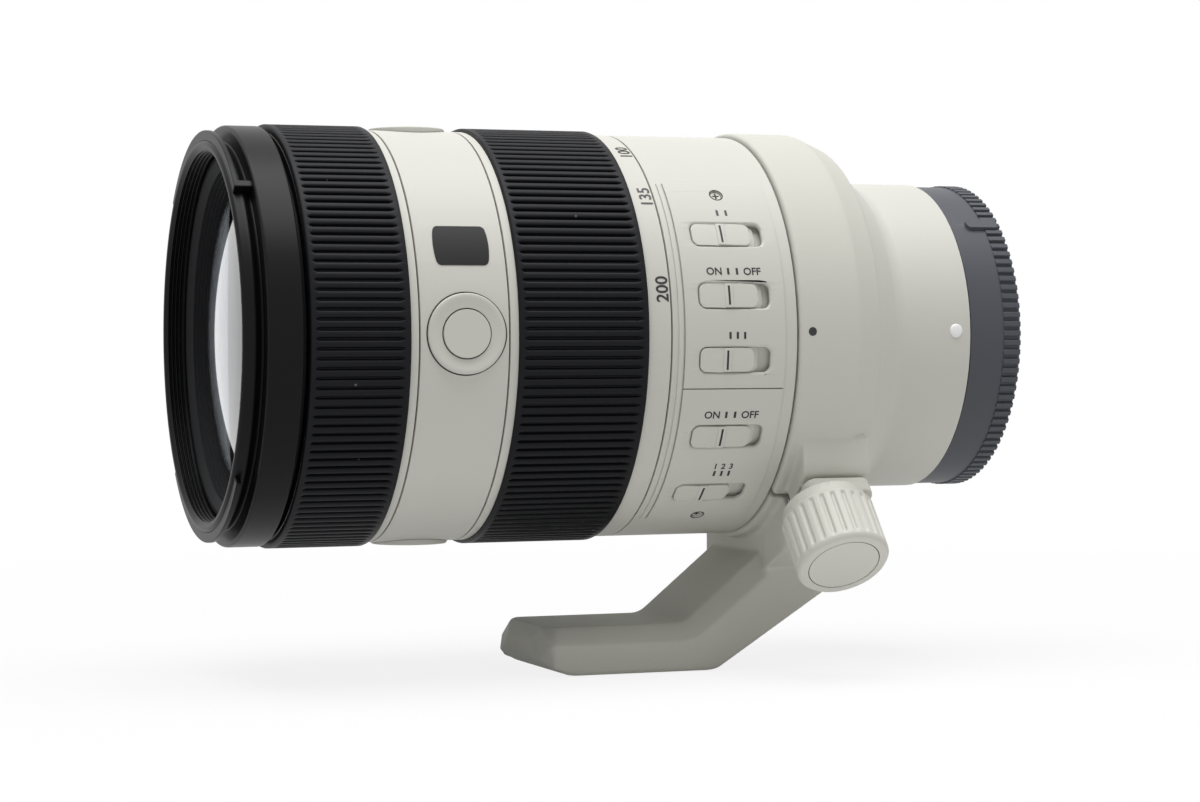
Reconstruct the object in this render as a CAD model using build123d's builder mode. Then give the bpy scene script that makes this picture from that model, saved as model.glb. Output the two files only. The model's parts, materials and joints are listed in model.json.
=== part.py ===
from build123d import *
import os
from math import atan2, copysign, cos, degrees, hypot, pi, radians, sin, sqrt

# Telephoto zoom lens for a mirrorless camera, in millimetres.
# The origin is the centre of the mount's flange plane, on the optical axis.
# +X runs from the front glass to the camera, +Z is up and the switches face -Y.
# Angles round the barrel start at the switch side (-Y) and grow towards the top.

# Lengths along the axis, front to rear
front_neck_length = 3.9
front_band_length = 6.75
front_gap = 1.15
focus_grip_length = 18.8
focus_strip_length = 1.7
front_shell_length = 17.3
zoom_strip_length = 1.8
zoom_grip_length = 25.6
number_ring_length = 4.7
rear_shell_length = 25.7
collar_gap = 0.4
collar_length = 18.1
flare_length = 8.0
rear_tube_length = 14.5
flange_thickness = 1.4

# Radii of the outside
grip_radius = 41.0
body_radius = 40.3
band_radius = 40.6
neck_radius = 38.2
collar_radius = 41.2
collar_rear_radius = 38.8
flare_radius = 37.4
rear_tube_radius = 31.4

# Clearances
run_gap = 0.06
seat_gap = 0.02
seam_gap = 0.15
end_gap = 0.3
cut_over = 1.0

# Walls of the nested tubes, outside to inside
grip_thickness = 1.4
ring_wall = 1.2
fixed_wall = 1.2
cam_wall = 1.25
guide_wall = 1.25
inner_wall = 1.4

# Motions
zoom_angle = 78.0
zoom_travel = 48.0
variator_travel = 10.0
focus_travel = 3.0
button_travel = 0.6

# Stations along the axis, worked out from the flange plane forwards
rear_tube_end = -flange_thickness
flare_end = rear_tube_end - rear_tube_length
flare_front = flare_end - flare_length
collar_rear = flare_front - collar_gap
collar_front = collar_rear - collar_length
rear_shell_end = collar_front - collar_gap
rear_shell_front = rear_shell_end - rear_shell_length
number_ring_front = rear_shell_front - number_ring_length
zoom_grip_front = number_ring_front - zoom_grip_length
zoom_ring_front = zoom_grip_front - zoom_strip_length
front_shell_front = zoom_ring_front - front_shell_length
focus_strip_front = front_shell_front - focus_strip_length
focus_grip_front = focus_strip_front - focus_grip_length
band_rear = focus_grip_front - front_gap
band_front = band_rear - front_band_length
front_rim = band_front - front_neck_length

# Radii of the nested tubes
core_radius = grip_radius - grip_thickness
bearing_radius = core_radius - ring_wall - run_gap
fixed_inner = bearing_radius - fixed_wall
cam_radius = fixed_inner - run_gap
cam_inner = cam_radius - cam_wall
guide_radius = cam_inner - run_gap
guide_inner = guide_radius - guide_wall
slide_radius = guide_inner - run_gap
slide_inner = slide_radius - inner_wall
shell_inner = bearing_radius + seat_gap


def radial_plane(angle, height=0):
    """A plane square to the radius at this angle, with its x along the lens and its z outwards."""
    out = Vector(0, -cos(radians(angle)), sin(radians(angle)))
    return Plane(origin=out * height, x_dir=(1, 0, 0), z_dir=out)


def turned(points, mode=Mode.ADD):
    """Revolves an outline of (place along the axis, radius) points about the lens axis."""
    with BuildSketch(Plane.XY) as outline:
        with BuildLine():
            Polyline(*points, close=True)
        make_face()
    revolve(outline.sketch, axis=Axis.X, mode=mode)


def tube(front, rear, outer, inner, mode=Mode.ADD):
    """A plain tube on the lens axis."""
    turned([(front, inner), (rear, inner), (rear, outer), (front, outer)], mode)


def sector(front, rear, outer, inner, low, high, mode=Mode.ADD):
    """A piece of tube between two angles."""
    start = radians(high)
    plane = Plane(origin=(0, 0, 0), x_dir=(1, 0, 0), z_dir=(0, -sin(start), -cos(start)))
    with BuildSketch(plane) as outline:
        with Locations(((front + rear) / 2, (outer + inner) / 2)):
            Rectangle(rear - front, outer - inner)
    revolve(outline.sketch, axis=Axis.X, revolution_arc=high - low, mode=mode)


def lens(front, rear, radius, front_curve, rear_curve):
    """A glass with spherical faces; a face with a positive curve bulges and one with a negative dishes."""
    edges = []
    for place, curve, side in ((front, front_curve, -1), (rear, rear_curve, 1)):
        half = radius / 2
        depth = copysign(abs(curve) - sqrt(curve ** 2 - radius ** 2), curve)
        half_depth = depth - copysign(abs(curve) - sqrt(curve ** 2 - half ** 2), curve)
        edges.append([(place, radius), (place + side * half_depth, half), (place + side * depth, 0)])
    with BuildSketch(Plane.XY) as outline:
        with BuildLine():
            ThreePointArc(*edges[0])
            Line(edges[0][2], edges[1][2])
            ThreePointArc(*edges[1])
            Line(edges[1][0], edges[0][0])
        make_face()
    revolve(outline.sketch, axis=Axis.X)


def peg(angle, place, low, high, radius, mode=Mode.ADD):
    """A round peg that stands along the radius at this angle, between two heights."""
    with BuildSketch(radial_plane(angle, low)) as outline:
        with Locations((place, 0)):
            Circle(radius)
    extrude(outline.sketch, amount=high - low, mode=mode)


def slot_block(angle, place, low, high, length, width, corner, mode=Mode.ADD):
    """A block with rounded corners that stands along the radius at this angle."""
    with BuildSketch(radial_plane(angle, low)) as outline:
        with Locations((place, 0)):
            RectangleRounded(length, width, corner)
    extrude(outline.sketch, amount=high - low, mode=mode)


def ribbed_ring(front, rear, count, top, root, inner, top_share, root_share):
    """A ring whose outside has straight ribs along the axis, with sloping flanks."""
    pitch = 2 * pi / count
    points = []
    for rib in range(count):
        middle = rib * pitch
        for share, radius in ((-root_share, root), (-top_share, top), (top_share, top), (root_share, root)):
            turn = middle + share * pitch / 2
            points.append((radius * cos(turn), radius * sin(turn)))
    with BuildSketch(Plane.YZ.offset(front)) as section:
        with BuildLine():
            Polyline(*points, close=True)
        make_face()
        Circle(inner, mode=Mode.SUBTRACT)
    extrude(section.sketch, amount=rear - front)


def save(piece, label):
    """Labels a finished piece and writes its file."""
    piece.part.label = label
    export_step(piece.part, f"parts/{label}.step")


os.makedirs("parts", exist_ok=True)

# Front ring: filter thread, hood bayonet and the black band
filter_radius = 35.6
filter_depth = 4.6
filter_lead = 0.7
filter_relief_radius = 36.2
filter_relief_length = 1.2
rim_chamfer = 0.5
hood_tab_radius = 39.6
hood_tab_front = 0.15
hood_tab_width = 1.25
hood_tab_middles = [90.0, 270.0]
hood_tab_angle = 93.0
hood_stop_width = 1.6
band_edge = 0.35
skirt_radius = 38.3
thread_floor = front_rim + filter_lead + filter_depth
thread_end = thread_floor - filter_relief_length
front_ring_rear = focus_grip_front - end_gap
with BuildPart() as front_ring:
    turned(
        [
            (front_rim, filter_radius + filter_lead),
            (front_rim + filter_lead, filter_radius),
            (thread_end, filter_radius),
            (thread_end, filter_relief_radius),
            (thread_floor, filter_relief_radius),
            (thread_floor, slide_radius + seat_gap),
            (front_ring_rear, slide_radius + seat_gap),
            (front_ring_rear, skirt_radius),
            (band_rear, skirt_radius),
            (band_rear, band_radius - band_edge),
            (band_rear - band_edge, band_radius),
            (band_front + band_edge, band_radius),
            (band_front, band_radius - band_edge),
            (band_front, neck_radius),
            (front_rim + rim_chamfer, neck_radius),
            (front_rim, neck_radius - rim_chamfer),
        ]
    )
    for middle in hood_tab_middles:
        low = middle - hood_tab_angle / 2
        tab_front = front_rim + hood_tab_front
        sector(tab_front, tab_front + hood_tab_width, hood_tab_radius, neck_radius - rim_chamfer,
               low, middle + hood_tab_angle / 2)
        sector(tab_front, band_front + band_edge, hood_tab_radius, neck_radius - rim_chamfer,
               low, low + degrees(hood_stop_width / neck_radius))
save(front_ring, "front_ring")

# Extending tube that carries the front glass, with three cam followers
inner_tube_overlap = 4.9
inner_tube_rear = rear_shell_front + inner_tube_overlap
follower_radius = 1.6
follower_stub_radius = 1.0
follower_stub_depth = 1.0
follower_inset = 1.5
follower_place = rear_shell_front - follower_inset
follower_count = 3
follower_start = 30.0
follower_top = cam_radius - run_gap
front_follower_angles = [follower_start + 360 / follower_count * n for n in range(follower_count)]
with BuildPart() as inner_tube:
    tube(thread_floor + seam_gap, inner_tube_rear, slide_radius, slide_inner)
    for angle in front_follower_angles:
        peg(angle, follower_place, slide_inner - cut_over, slide_radius + cut_over,
            follower_stub_radius + seat_gap, Mode.SUBTRACT)
save(inner_tube, "inner_tube")

with BuildPart() as cam_followers:
    for angle in front_follower_angles:
        peg(angle, follower_place, slide_radius - follower_stub_depth, slide_radius + run_gap,
            follower_stub_radius)
        peg(angle, follower_place, slide_radius + run_gap, follower_top, follower_radius)
save(cam_followers, "cam_followers")

# Front glass in its cell, held by a ridged baffle ring
front_glass_radius = 30.4
front_glass_edge = 3.4
front_glass_curve = 130.0
front_glass_back_curve = -420.0
baffle_lip_radius = 35.3
baffle_lip_width = 1.0
baffle_mouth_radius = 34.4
baffle_shoulder_radius = 32.6
baffle_throat_radius = 29.9
baffle_length = 3.6
baffle_steps = 6
cell_wall = 1.2
glass_place = thread_floor + baffle_length
cell_radius = slide_inner - seat_gap
with BuildPart() as baffle_ring:
    baffle_front = thread_floor - baffle_lip_width
    cone = [(baffle_front, baffle_lip_radius), (baffle_front, baffle_mouth_radius)]
    fall = (baffle_shoulder_radius - baffle_throat_radius) / baffle_steps
    for step in range(baffle_steps):
        along = thread_floor + baffle_length * step / baffle_steps
        down = baffle_shoulder_radius - fall * step
        cone += [(along, down), (along + baffle_length / baffle_steps, down)]
    cone += [
        (glass_place, cell_radius),
        (thread_floor - seat_gap, cell_radius),
        (thread_floor - seat_gap, baffle_lip_radius),
    ]
    turned(cone)
save(baffle_ring, "baffle_ring")

with BuildPart() as front_glass:
    lens(glass_place + seat_gap, glass_place + seat_gap + front_glass_edge, front_glass_radius,
         front_glass_curve, front_glass_back_curve)
save(front_glass, "front_glass")

# Second pair of glasses in the front group
second_glass_radius = 28.6
second_glass_thickness = 8.0
second_glass_curve = -260.0
second_glass_back_curve = 180.0
glass_space = 1.6
second_front = glass_place + front_glass_edge + glass_space
with BuildPart() as second_glass:
    lens(second_front, second_front + second_glass_thickness, second_glass_radius,
         second_glass_curve, second_glass_back_curve)
save(second_glass, "second_glass")

with BuildPart() as front_cell:
    cell_rear = second_front + second_glass_thickness
    turned(
        [
            (glass_place + seat_gap, front_glass_radius + seat_gap),
            (glass_place + seat_gap, cell_radius),
            (cell_rear, cell_radius),
            (cell_rear, second_glass_radius + seat_gap),
            (second_front, second_glass_radius + seat_gap),
            (second_front, second_glass_radius - cell_wall),
            (second_front - glass_space + seat_gap, second_glass_radius - cell_wall),
            (second_front - glass_space + seat_gap, front_glass_radius + seat_gap),
        ]
    )
save(front_cell, "front_cell")

# Fixed barrel that carries the two rings, with windows for the zoom ring's drive keys
retainer_width = 1.5
retainer_sink = 0.6
retainer_radius = core_radius - retainer_sink
fixed_front = focus_grip_front + end_gap + retainer_width + seam_gap
flange_width = 2.0
spigot_width = 3.2
fixed_inset = 1.0
fixed_rear = rear_shell_end - fixed_inset
key_radius = 2.0
key_place = (zoom_grip_front + number_ring_front) / 2
key_margin_angle = 4.0
key_angle_shift = 85.0
key_angles = [follower_start + key_angle_shift + 360 / follower_count * n for n in range(follower_count)]
key_window_width = 2 * key_radius + 2 * run_gap
key_half_angle = degrees(key_radius / fixed_inner) + key_margin_angle
with BuildPart() as fixed_barrel:
    tube(fixed_front, fixed_rear, bearing_radius, fixed_inner)
    for angle in key_angles:
        sector(key_place - key_window_width / 2, key_place + key_window_width / 2,
               bearing_radius + cut_over, fixed_inner - cut_over,
               angle - key_half_angle, angle + zoom_angle + key_half_angle, Mode.SUBTRACT)
save(fixed_barrel, "fixed_barrel")

with BuildPart() as front_retainer:
    tube(fixed_front - retainer_width, fixed_front, retainer_radius, guide_inner)
save(front_retainer, "front_retainer")

# Guide tube with straight slots for the followers of both moving groups
variator_setback = 16.0
variator_place = follower_place + variator_setback
variator_angles = [angle + 180 / follower_count for angle in front_follower_angles]
slot_gap = 0.12
slot_width = 2 * follower_radius + 2 * slot_gap
guide_rear = fixed_rear - spigot_width
with BuildPart() as guide_tube:
    tube(fixed_front, guide_rear, guide_radius, guide_inner)
    tube(guide_rear - flange_width, guide_rear, fixed_inner - seat_gap, guide_inner)
    for angles, place, travel in (
        (front_follower_angles, follower_place, zoom_travel),
        (variator_angles, variator_place, variator_travel),
    ):
        for angle in angles:
            slot_block(angle, place - travel / 2, guide_inner - cut_over, guide_radius + cut_over,
                       travel + slot_width, slot_width, slot_width / 2 - slot_gap / 2, Mode.SUBTRACT)
save(guide_tube, "guide_tube")


# Cam tube: turns with the zoom ring and drives both groups through helical slots
cam_front = fixed_front + end_gap
cam_rear = guide_rear - flange_width - end_gap


def slot_ribbon(angle, place, travel):
    """The slot's centre line unrolled, as a solid ribbon wound on the cam tube."""
    pitch = travel * 360 / zoom_angle
    middle = (cam_radius + cam_inner) / 2
    path = Helix(pitch, travel, middle, direction=(-1, 0, 0), lefthand=True, mode=Mode.PRIVATE)
    begin = path @ 0
    start = degrees(atan2(begin.Z, -begin.Y))
    turn = angle - start
    path = path.moved(Location((place, 0, 0)))
    path = path.rotate(Axis.X, -turn)
    tangent = path % 0
    origin = path @ 0
    out = Vector(0, origin.Y, origin.Z).normalized()
    with BuildSketch(Plane(origin=origin, x_dir=out, z_dir=tangent)) as section:
        Rectangle(cam_wall + 2 * cut_over, slot_width)
    return sweep(section.sketch, path=path, is_frenet=True, mode=Mode.PRIVATE)


with BuildPart() as cam_tube:
    tube(cam_front, cam_rear, cam_radius, cam_inner)
    for angles, place, travel in (
        (front_follower_angles, follower_place, zoom_travel),
        (variator_angles, variator_place, variator_travel),
    ):
        for angle in angles:
            add(slot_ribbon(angle, place, travel), mode=Mode.SUBTRACT)
            peg(angle, place, cam_inner - cut_over, cam_radius + cut_over, slot_width / 2, Mode.SUBTRACT)
            peg(angle - zoom_angle, place - travel, cam_inner - cut_over, cam_radius + cut_over,
                slot_width / 2, Mode.SUBTRACT)
    for angle in key_angles:
        peg(angle, key_place, cam_inner - cut_over, cam_radius + cut_over, key_radius + seat_gap,
            Mode.SUBTRACT)
save(cam_tube, "cam_tube")

# Zoom ring, its grip and its drive keys
with BuildPart() as zoom_ring:
    inner = bearing_radius + run_gap
    turned(
        [
            (zoom_ring_front + seam_gap, inner),
            (rear_shell_front - seam_gap, inner),
            (rear_shell_front - seam_gap, body_radius),
            (number_ring_front, body_radius),
            (number_ring_front, core_radius),
            (zoom_grip_front, core_radius),
            (zoom_grip_front, body_radius),
            (zoom_ring_front + seam_gap, body_radius),
        ]
    )
    for angle in key_angles:
        peg(angle, key_place, inner - cut_over, core_radius + cut_over, key_radius + seat_gap, Mode.SUBTRACT)
save(zoom_ring, "zoom_ring")

with BuildPart() as drive_keys:
    for angle in key_angles:
        peg(angle, key_place, cam_inner + seat_gap, bearing_radius + ring_wall - seat_gap, key_radius)
save(drive_keys, "drive_keys")

grip_lip = 0.9
rib_depth = 0.75
rib_top_share = 0.5
rib_root_share = 0.72
zoom_rib_count = 140
focus_rib_count = 142


def rubber_grip(front, rear, count):
    """A rubber sleeve with straight ribs between two plain lips."""
    ribbed_ring(front + grip_lip, rear - grip_lip, count, grip_radius, grip_radius - rib_depth,
                core_radius + seat_gap, rib_top_share, rib_root_share)
    tube(front + seat_gap, front + grip_lip, grip_radius, core_radius + seat_gap)
    tube(rear - grip_lip, rear - seat_gap, grip_radius, core_radius + seat_gap)


with BuildPart() as zoom_grip:
    rubber_grip(zoom_grip_front, number_ring_front, zoom_rib_count)
save(zoom_grip, "zoom_grip")

# Focus ring and its grip
with BuildPart() as focus_ring:
    inner = bearing_radius + run_gap
    turned(
        [
            (focus_grip_front + seam_gap, retainer_radius + run_gap),
            (fixed_front + seam_gap, retainer_radius + run_gap),
            (fixed_front + seam_gap, inner),
            (front_shell_front - seam_gap, inner),
            (front_shell_front - seam_gap, body_radius),
            (focus_strip_front, body_radius),
            (focus_strip_front, core_radius),
            (focus_grip_front + seam_gap, core_radius),
        ]
    )
save(focus_ring, "focus_ring")

with BuildPart() as focus_grip:
    rubber_grip(focus_grip_front, focus_strip_front, focus_rib_count)
save(focus_grip, "focus_grip")

# White front shell with three hold buttons and a bare badge plate
bezel_radius = 7.5
bezel_height = 0.45
bezel_edge = 0.4
bezel_dish = 0.35
bezel_crest_width = 1.1
bezel_floor_width = 0.4
bezel_sink = 0.1
button_radius = 4.5
button_gap = 0.1
button_face = 0.5
button_lip = 0.6
button_lip_height = 0.4
button_lip_depth = 1.0
button_shift = 0.3
button_place = (front_shell_front + zoom_ring_front) / 2 + button_shift
button_angles = {"side": 0.0, "top": 90.0, "bottom": -90.0}
bezel_base = shell_inner + bezel_sink
badge_length = 9.5
badge_height = 7.3
badge_corner = 0.8
badge_depth = 0.5
badge_proud = 0.1
badge_angle = 24.0
badge_inset = 8.9
badge_place = front_shell_front + badge_inset
with BuildPart() as front_shell:
    tube(front_shell_front + seam_gap, zoom_ring_front - seam_gap, body_radius, shell_inner)
    for angle in button_angles.values():
        peg(angle, button_place, bezel_base - cut_over, body_radius + cut_over, bezel_radius + seat_gap,
            Mode.SUBTRACT)
    slot_block(badge_angle, badge_place, body_radius - badge_depth, body_radius + cut_over,
               badge_length + 2 * seat_gap, badge_height + 2 * seat_gap, badge_corner, Mode.SUBTRACT)
save(front_shell, "front_shell")


def stem_plane(angle, place):
    """A plane through the radius at this angle, with its x along the lens and its y outwards."""
    out = Vector(0, -cos(radians(angle)), sin(radians(angle)))
    return Plane(origin=(place, 0, 0), x_dir=(1, 0, 0), z_dir=Vector(1, 0, 0).cross(out))


with BuildPart() as button_bezels:
    for angle in button_angles.values():
        stem = stem_plane(angle, button_place)
        top = body_radius + bezel_height
        bore = button_radius + button_gap
        recess = bore + button_lip
        ledge = top - button_lip_depth + button_travel / 2
        with BuildSketch(stem) as bezel_outline:
            with BuildLine():
                Polyline(
                    (recess, bezel_base),
                    (bezel_radius, bezel_base),
                    (bezel_radius, top),
                    (bezel_radius - bezel_crest_width, top),
                    (bore + bezel_floor_width, top - bezel_dish),
                    (bore, top - bezel_dish),
                    (bore, ledge),
                    (recess, ledge),
                    close=True,
                )
            make_face()
            rims = bezel_outline.vertices().filter_by(lambda v: abs(hypot(v.Y, v.Z) - top) < seat_gap)
            fillet(rims, bezel_edge)
        revolve(bezel_outline.sketch, axis=Axis((button_place, 0, 0), stem.y_dir))
save(button_bezels, "button_bezels")

button_top = body_radius + button_face
lip_top = body_radius + bezel_height - button_lip_depth + button_travel / 2 - run_gap
for side, angle in button_angles.items():
    with BuildPart() as hold_button:
        peg(angle, button_place, lip_top - button_lip_height, lip_top, button_radius + button_lip)
        peg(angle, button_place, lip_top, button_top, button_radius)
    save(hold_button, f"hold_button_{side}")

with BuildPart() as badge_plate:
    slot_block(badge_angle, badge_place, body_radius - badge_depth + seat_gap, body_radius + cut_over,
               badge_length, badge_height, badge_corner)
    tube(front_shell_front, zoom_ring_front, body_radius + 2 * cut_over, body_radius + badge_proud,
         Mode.SUBTRACT)
save(badge_plate, "badge_plate")

# White rear shell with its raised rib and the pocket of the switch panel
panel_front_inset = 2.6
panel_rear_inset = 2.5
panel_front = rear_shell_front + panel_front_inset
panel_rear = rear_shell_end - panel_rear_inset
panel_top = 45.8
panel_split = -15.1
panel_bottom = -63.0
panel_proud = 0.35
panel_thickness = 1.0
panel_seam_angle = 0.25
panel_base = body_radius + panel_proud - panel_thickness
well_depth = 0.7
well_width = 5.8
well_margin = 0.5
rib_inset = 1.3
rib_front = rear_shell_front + rib_inset
rib_width = 0.9
rib_proud = 0.4
switch_place = (panel_front + panel_rear) / 2
switch_angles = [27.8, 10.2, -7.2, -29.2, -49.5]
three_stops = [False, False, True, False, True]
window_length = 14.6
window_width = 4.9
window_corner = 1.5
window_slope_width = 0.5
window_slope_depth = 0.35
slider_gap = 0.15
slider_proud = 0.05
slider_three_length = 10.9
slider_two_length = 11.9
slider_skirt = 1.2
slider_skirt_height = 0.45
ridge_width = 1.7
ridge_proud = 0.2
skirt_gap = 0.06
skirt_top = panel_base - skirt_gap
skirt_low = skirt_top - slider_skirt_height
slider_top = body_radius + panel_proud + slider_proud
clear_over = 3 * cut_over


with BuildPart() as rear_shell:
    tube(rear_shell_front + seam_gap, rear_shell_end, body_radius, shell_inner)
    sector(rib_front, rib_front + rib_width, body_radius + rib_proud, body_radius - seat_gap,
           panel_bottom, panel_top)
    sector(panel_front - seat_gap, panel_rear + seat_gap, body_radius + cut_over, panel_base - seat_gap,
           panel_bottom - panel_seam_angle / 2, panel_top + panel_seam_angle / 2, Mode.SUBTRACT)
    for angle in switch_angles:
        well_half = degrees(well_width / 2 / body_radius)
        sector(panel_front + well_margin, panel_rear - well_margin, panel_base, panel_base - well_depth,
               angle - well_half, angle + well_half, Mode.SUBTRACT)
save(rear_shell, "rear_shell")

screw_head_radius = 1.1
screw_place = switch_place
screw_angles = {"upper": 41.2, "lower": -60.8}
screw_sink = 0.35


def switch_panel(low, high, angles, screw_angle):
    """One curved cover plate, with windows in sloping recesses and the hole of its screw."""
    top = body_radius + panel_proud
    slope = degrees(atan2(window_slope_width, window_slope_depth))
    sector(panel_front, panel_rear, top, panel_base, low, high)
    for angle in angles:
        slot_block(angle, switch_place, panel_base - cut_over, top + cut_over,
                   window_length, window_width, window_corner, Mode.SUBTRACT)
        with BuildSketch(radial_plane(angle, top)) as recess:
            with Locations((switch_place, 0)):
                RectangleRounded(window_length + 2 * window_slope_width,
                                 window_width + 2 * window_slope_width,
                                 window_corner + window_slope_width)
        extrude(recess.sketch, amount=-window_slope_depth, taper=slope, mode=Mode.SUBTRACT)
    peg(screw_angle, screw_place, panel_base - cut_over, body_radius + cut_over,
        screw_head_radius + seat_gap, Mode.SUBTRACT)


with BuildPart() as switch_panel_upper:
    switch_panel(panel_split + panel_seam_angle / 2, panel_top, switch_angles[:3], screw_angles["upper"])
save(switch_panel_upper, "switch_panel_upper")

with BuildPart() as switch_panel_lower:
    switch_panel(panel_bottom, panel_split - panel_seam_angle / 2, switch_angles[3:], screw_angles["lower"])
save(switch_panel_lower, "switch_panel_lower")

with BuildPart() as panel_screws:
    for angle in screw_angles.values():
        peg(angle, screw_place, panel_base, body_radius + panel_proud - screw_sink, screw_head_radius)
save(panel_screws, "panel_screws")

for number, (angle, three) in enumerate(zip(switch_angles, three_stops), 1):
    length = slider_three_length if three else slider_two_length
    start = switch_place - window_length / 2 + slider_gap + length / 2
    with BuildPart() as slider:
        slot_block(angle, start, skirt_low, panel_base + cut_over, length + 2 * slider_skirt,
                   window_width + 2 * slider_gap, window_corner)
        tube(panel_front, panel_rear, panel_base + clear_over, skirt_top, Mode.SUBTRACT)
        slot_block(angle, start, skirt_low, slider_top + cut_over, length,
                   window_width - 2 * slider_gap, window_corner - slider_gap)
        tube(panel_front, panel_rear, slider_top + clear_over, slider_top, Mode.SUBTRACT)
        slot_block(angle, start, panel_base, slider_top + cut_over, ridge_width,
                   window_width - 2 * slider_gap, slider_gap)
        tube(panel_front, panel_rear, slider_top + clear_over, slider_top + ridge_proud, Mode.SUBTRACT)
    save(slider, f"switch_slider_{number}")

# Bearing tube under the tripod collar, and the mount barrel behind it
collar_wall = 3.0
liner_thickness = 0.5
collar_inner = collar_radius - collar_wall
seat_radius = collar_inner - liner_thickness - seat_gap - run_gap
bearing_wall = 2.4
bearing_inner = seat_radius - bearing_wall
tube_wall = 2.0
spigot_length = 6.4
spigot_wall = 1.4
neck_inner = rear_tube_radius - tube_wall
with BuildPart() as collar_bearing:
    turned(
        [
            (guide_rear, bearing_inner),
            (flare_front, bearing_inner),
            (flare_front, seat_radius),
            (rear_shell_end, seat_radius),
            (rear_shell_end, bearing_radius),
            (fixed_rear, bearing_radius),
            (fixed_rear, fixed_inner - seat_gap),
            (guide_rear, fixed_inner - seat_gap),
        ]
    )
save(collar_bearing, "collar_bearing")

flare_turn_share = 0.72
flare_blend = 5.0
with BuildPart() as mount_barrel:
    spigot_radius = bearing_inner - seat_gap
    with BuildSketch(Plane.XY) as barrel_outline:
        with BuildLine():
            skin = FilletPolyline(
                (flare_front, flare_radius),
                (flare_end - flare_length * (1 - flare_turn_share) / 2, rear_tube_radius),
                (rear_tube_end, rear_tube_radius),
                radius=flare_blend,
            )
            Polyline(
                (rear_tube_end, rear_tube_radius),
                (rear_tube_end, neck_inner),
                (flare_end, neck_inner),
                (flare_front + spigot_wall, spigot_radius - spigot_wall),
                (flare_front - spigot_length, spigot_radius - spigot_wall),
                (flare_front - spigot_length, spigot_radius),
                (flare_front, spigot_radius),
                (flare_front, flare_radius),
            )
        make_face()
    revolve(barrel_outline.sketch, axis=Axis.X)
save(mount_barrel, "mount_barrel")

mount_bead_radius = 1.7
mount_bead_height = 0.45
mount_bead_inset = 3.2
mount_bead_place = rear_tube_end - mount_bead_inset
with BuildPart() as mount_bead:
    peg(0, mount_bead_place, rear_tube_radius + seat_gap, rear_tube_radius + mount_bead_height,
        mount_bead_radius)
save(mount_bead, "mount_bead")

# Variator group: a carriage with its glass, driven by the cam tube
carriage_length = 10.0
carriage_wall = 3.0
variator_glass_radius = 22.0
variator_glass_thickness = 6.0
variator_glass_curve = -120.0
with BuildPart() as variator_carriage:
    carriage_front = variator_place - carriage_length / 2
    turned(
        [
            (carriage_front, slide_radius - carriage_wall),
            (carriage_front, slide_radius),
            (carriage_front + carriage_length, slide_radius),
            (carriage_front + carriage_length, variator_glass_radius + seat_gap),
            (carriage_front + carriage_length - variator_glass_thickness, variator_glass_radius + seat_gap),
            (carriage_front + carriage_length - variator_glass_thickness, slide_radius - carriage_wall),
        ]
    )
    for angle in variator_angles:
        peg(angle, variator_place, slide_radius - follower_stub_depth, slide_radius + cut_over,
            follower_stub_radius + seat_gap, Mode.SUBTRACT)
save(variator_carriage, "variator_carriage")

with BuildPart() as variator_followers:
    for angle in variator_angles:
        peg(angle, variator_place, slide_radius - follower_stub_depth + seat_gap, slide_radius + run_gap,
            follower_stub_radius)
        peg(angle, variator_place, slide_radius + run_gap, follower_top, follower_radius)
save(variator_followers, "variator_followers")

with BuildPart() as variator_glass:
    glass_rear = variator_place + carriage_length / 2
    lens(glass_rear - variator_glass_thickness, glass_rear, variator_glass_radius,
         variator_glass_curve, variator_glass_curve)
save(variator_glass, "variator_glass")

# Iris: housing with nine blades, each on its own level
iris_length = 7.0
iris_wall = 1.2
iris_aperture = 15.0
iris_inset = 2.6
iris_front = guide_rear + iris_inset
blade_count = 9
blade_thickness = 0.12
blade_pitch = 0.2
blade_width = 4.4
blade_span = 78.0
iris_radius = bearing_inner - seat_gap
blade_margin = 1.2
blade_outer = iris_aperture + blade_width + blade_margin
with BuildPart() as iris_housing:
    turned(
        [
            (iris_front, iris_aperture),
            (iris_front, iris_radius),
            (iris_front + iris_length, iris_radius),
            (iris_front + iris_length, iris_aperture),
            (iris_front + iris_length - iris_wall, iris_aperture),
            (iris_front + iris_length - iris_wall, iris_radius - iris_wall),
            (iris_front + iris_wall, iris_radius - iris_wall),
            (iris_front + iris_wall, iris_aperture),
        ]
    )
save(iris_housing, "iris_housing")

with BuildPart() as iris_blades:
    for blade in range(blade_count):
        level = iris_front + iris_wall + blade_pitch * (blade + 1)
        middle = blade * 360 / blade_count
        sector(level, level + blade_thickness, blade_outer, blade_outer - blade_width,
               middle - blade_span / 2, middle + blade_span / 2)
save(iris_blades, "iris_blades")

# Stabiliser: a sealed unit with its glass
stabiliser_gap = 0.5
stabiliser_length = 6.0
stabiliser_glass_radius = 15.5
stabiliser_glass_curve = 140.0
stabiliser_front = iris_front + iris_length + stabiliser_gap
with BuildPart() as stabiliser_unit:
    tube(stabiliser_front, stabiliser_front + stabiliser_length, iris_radius, stabiliser_glass_radius)
    lens(stabiliser_front + iris_wall, stabiliser_front + stabiliser_length - iris_wall,
         stabiliser_glass_radius, stabiliser_glass_curve, stabiliser_glass_curve)
save(stabiliser_unit, "stabiliser_unit")

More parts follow.
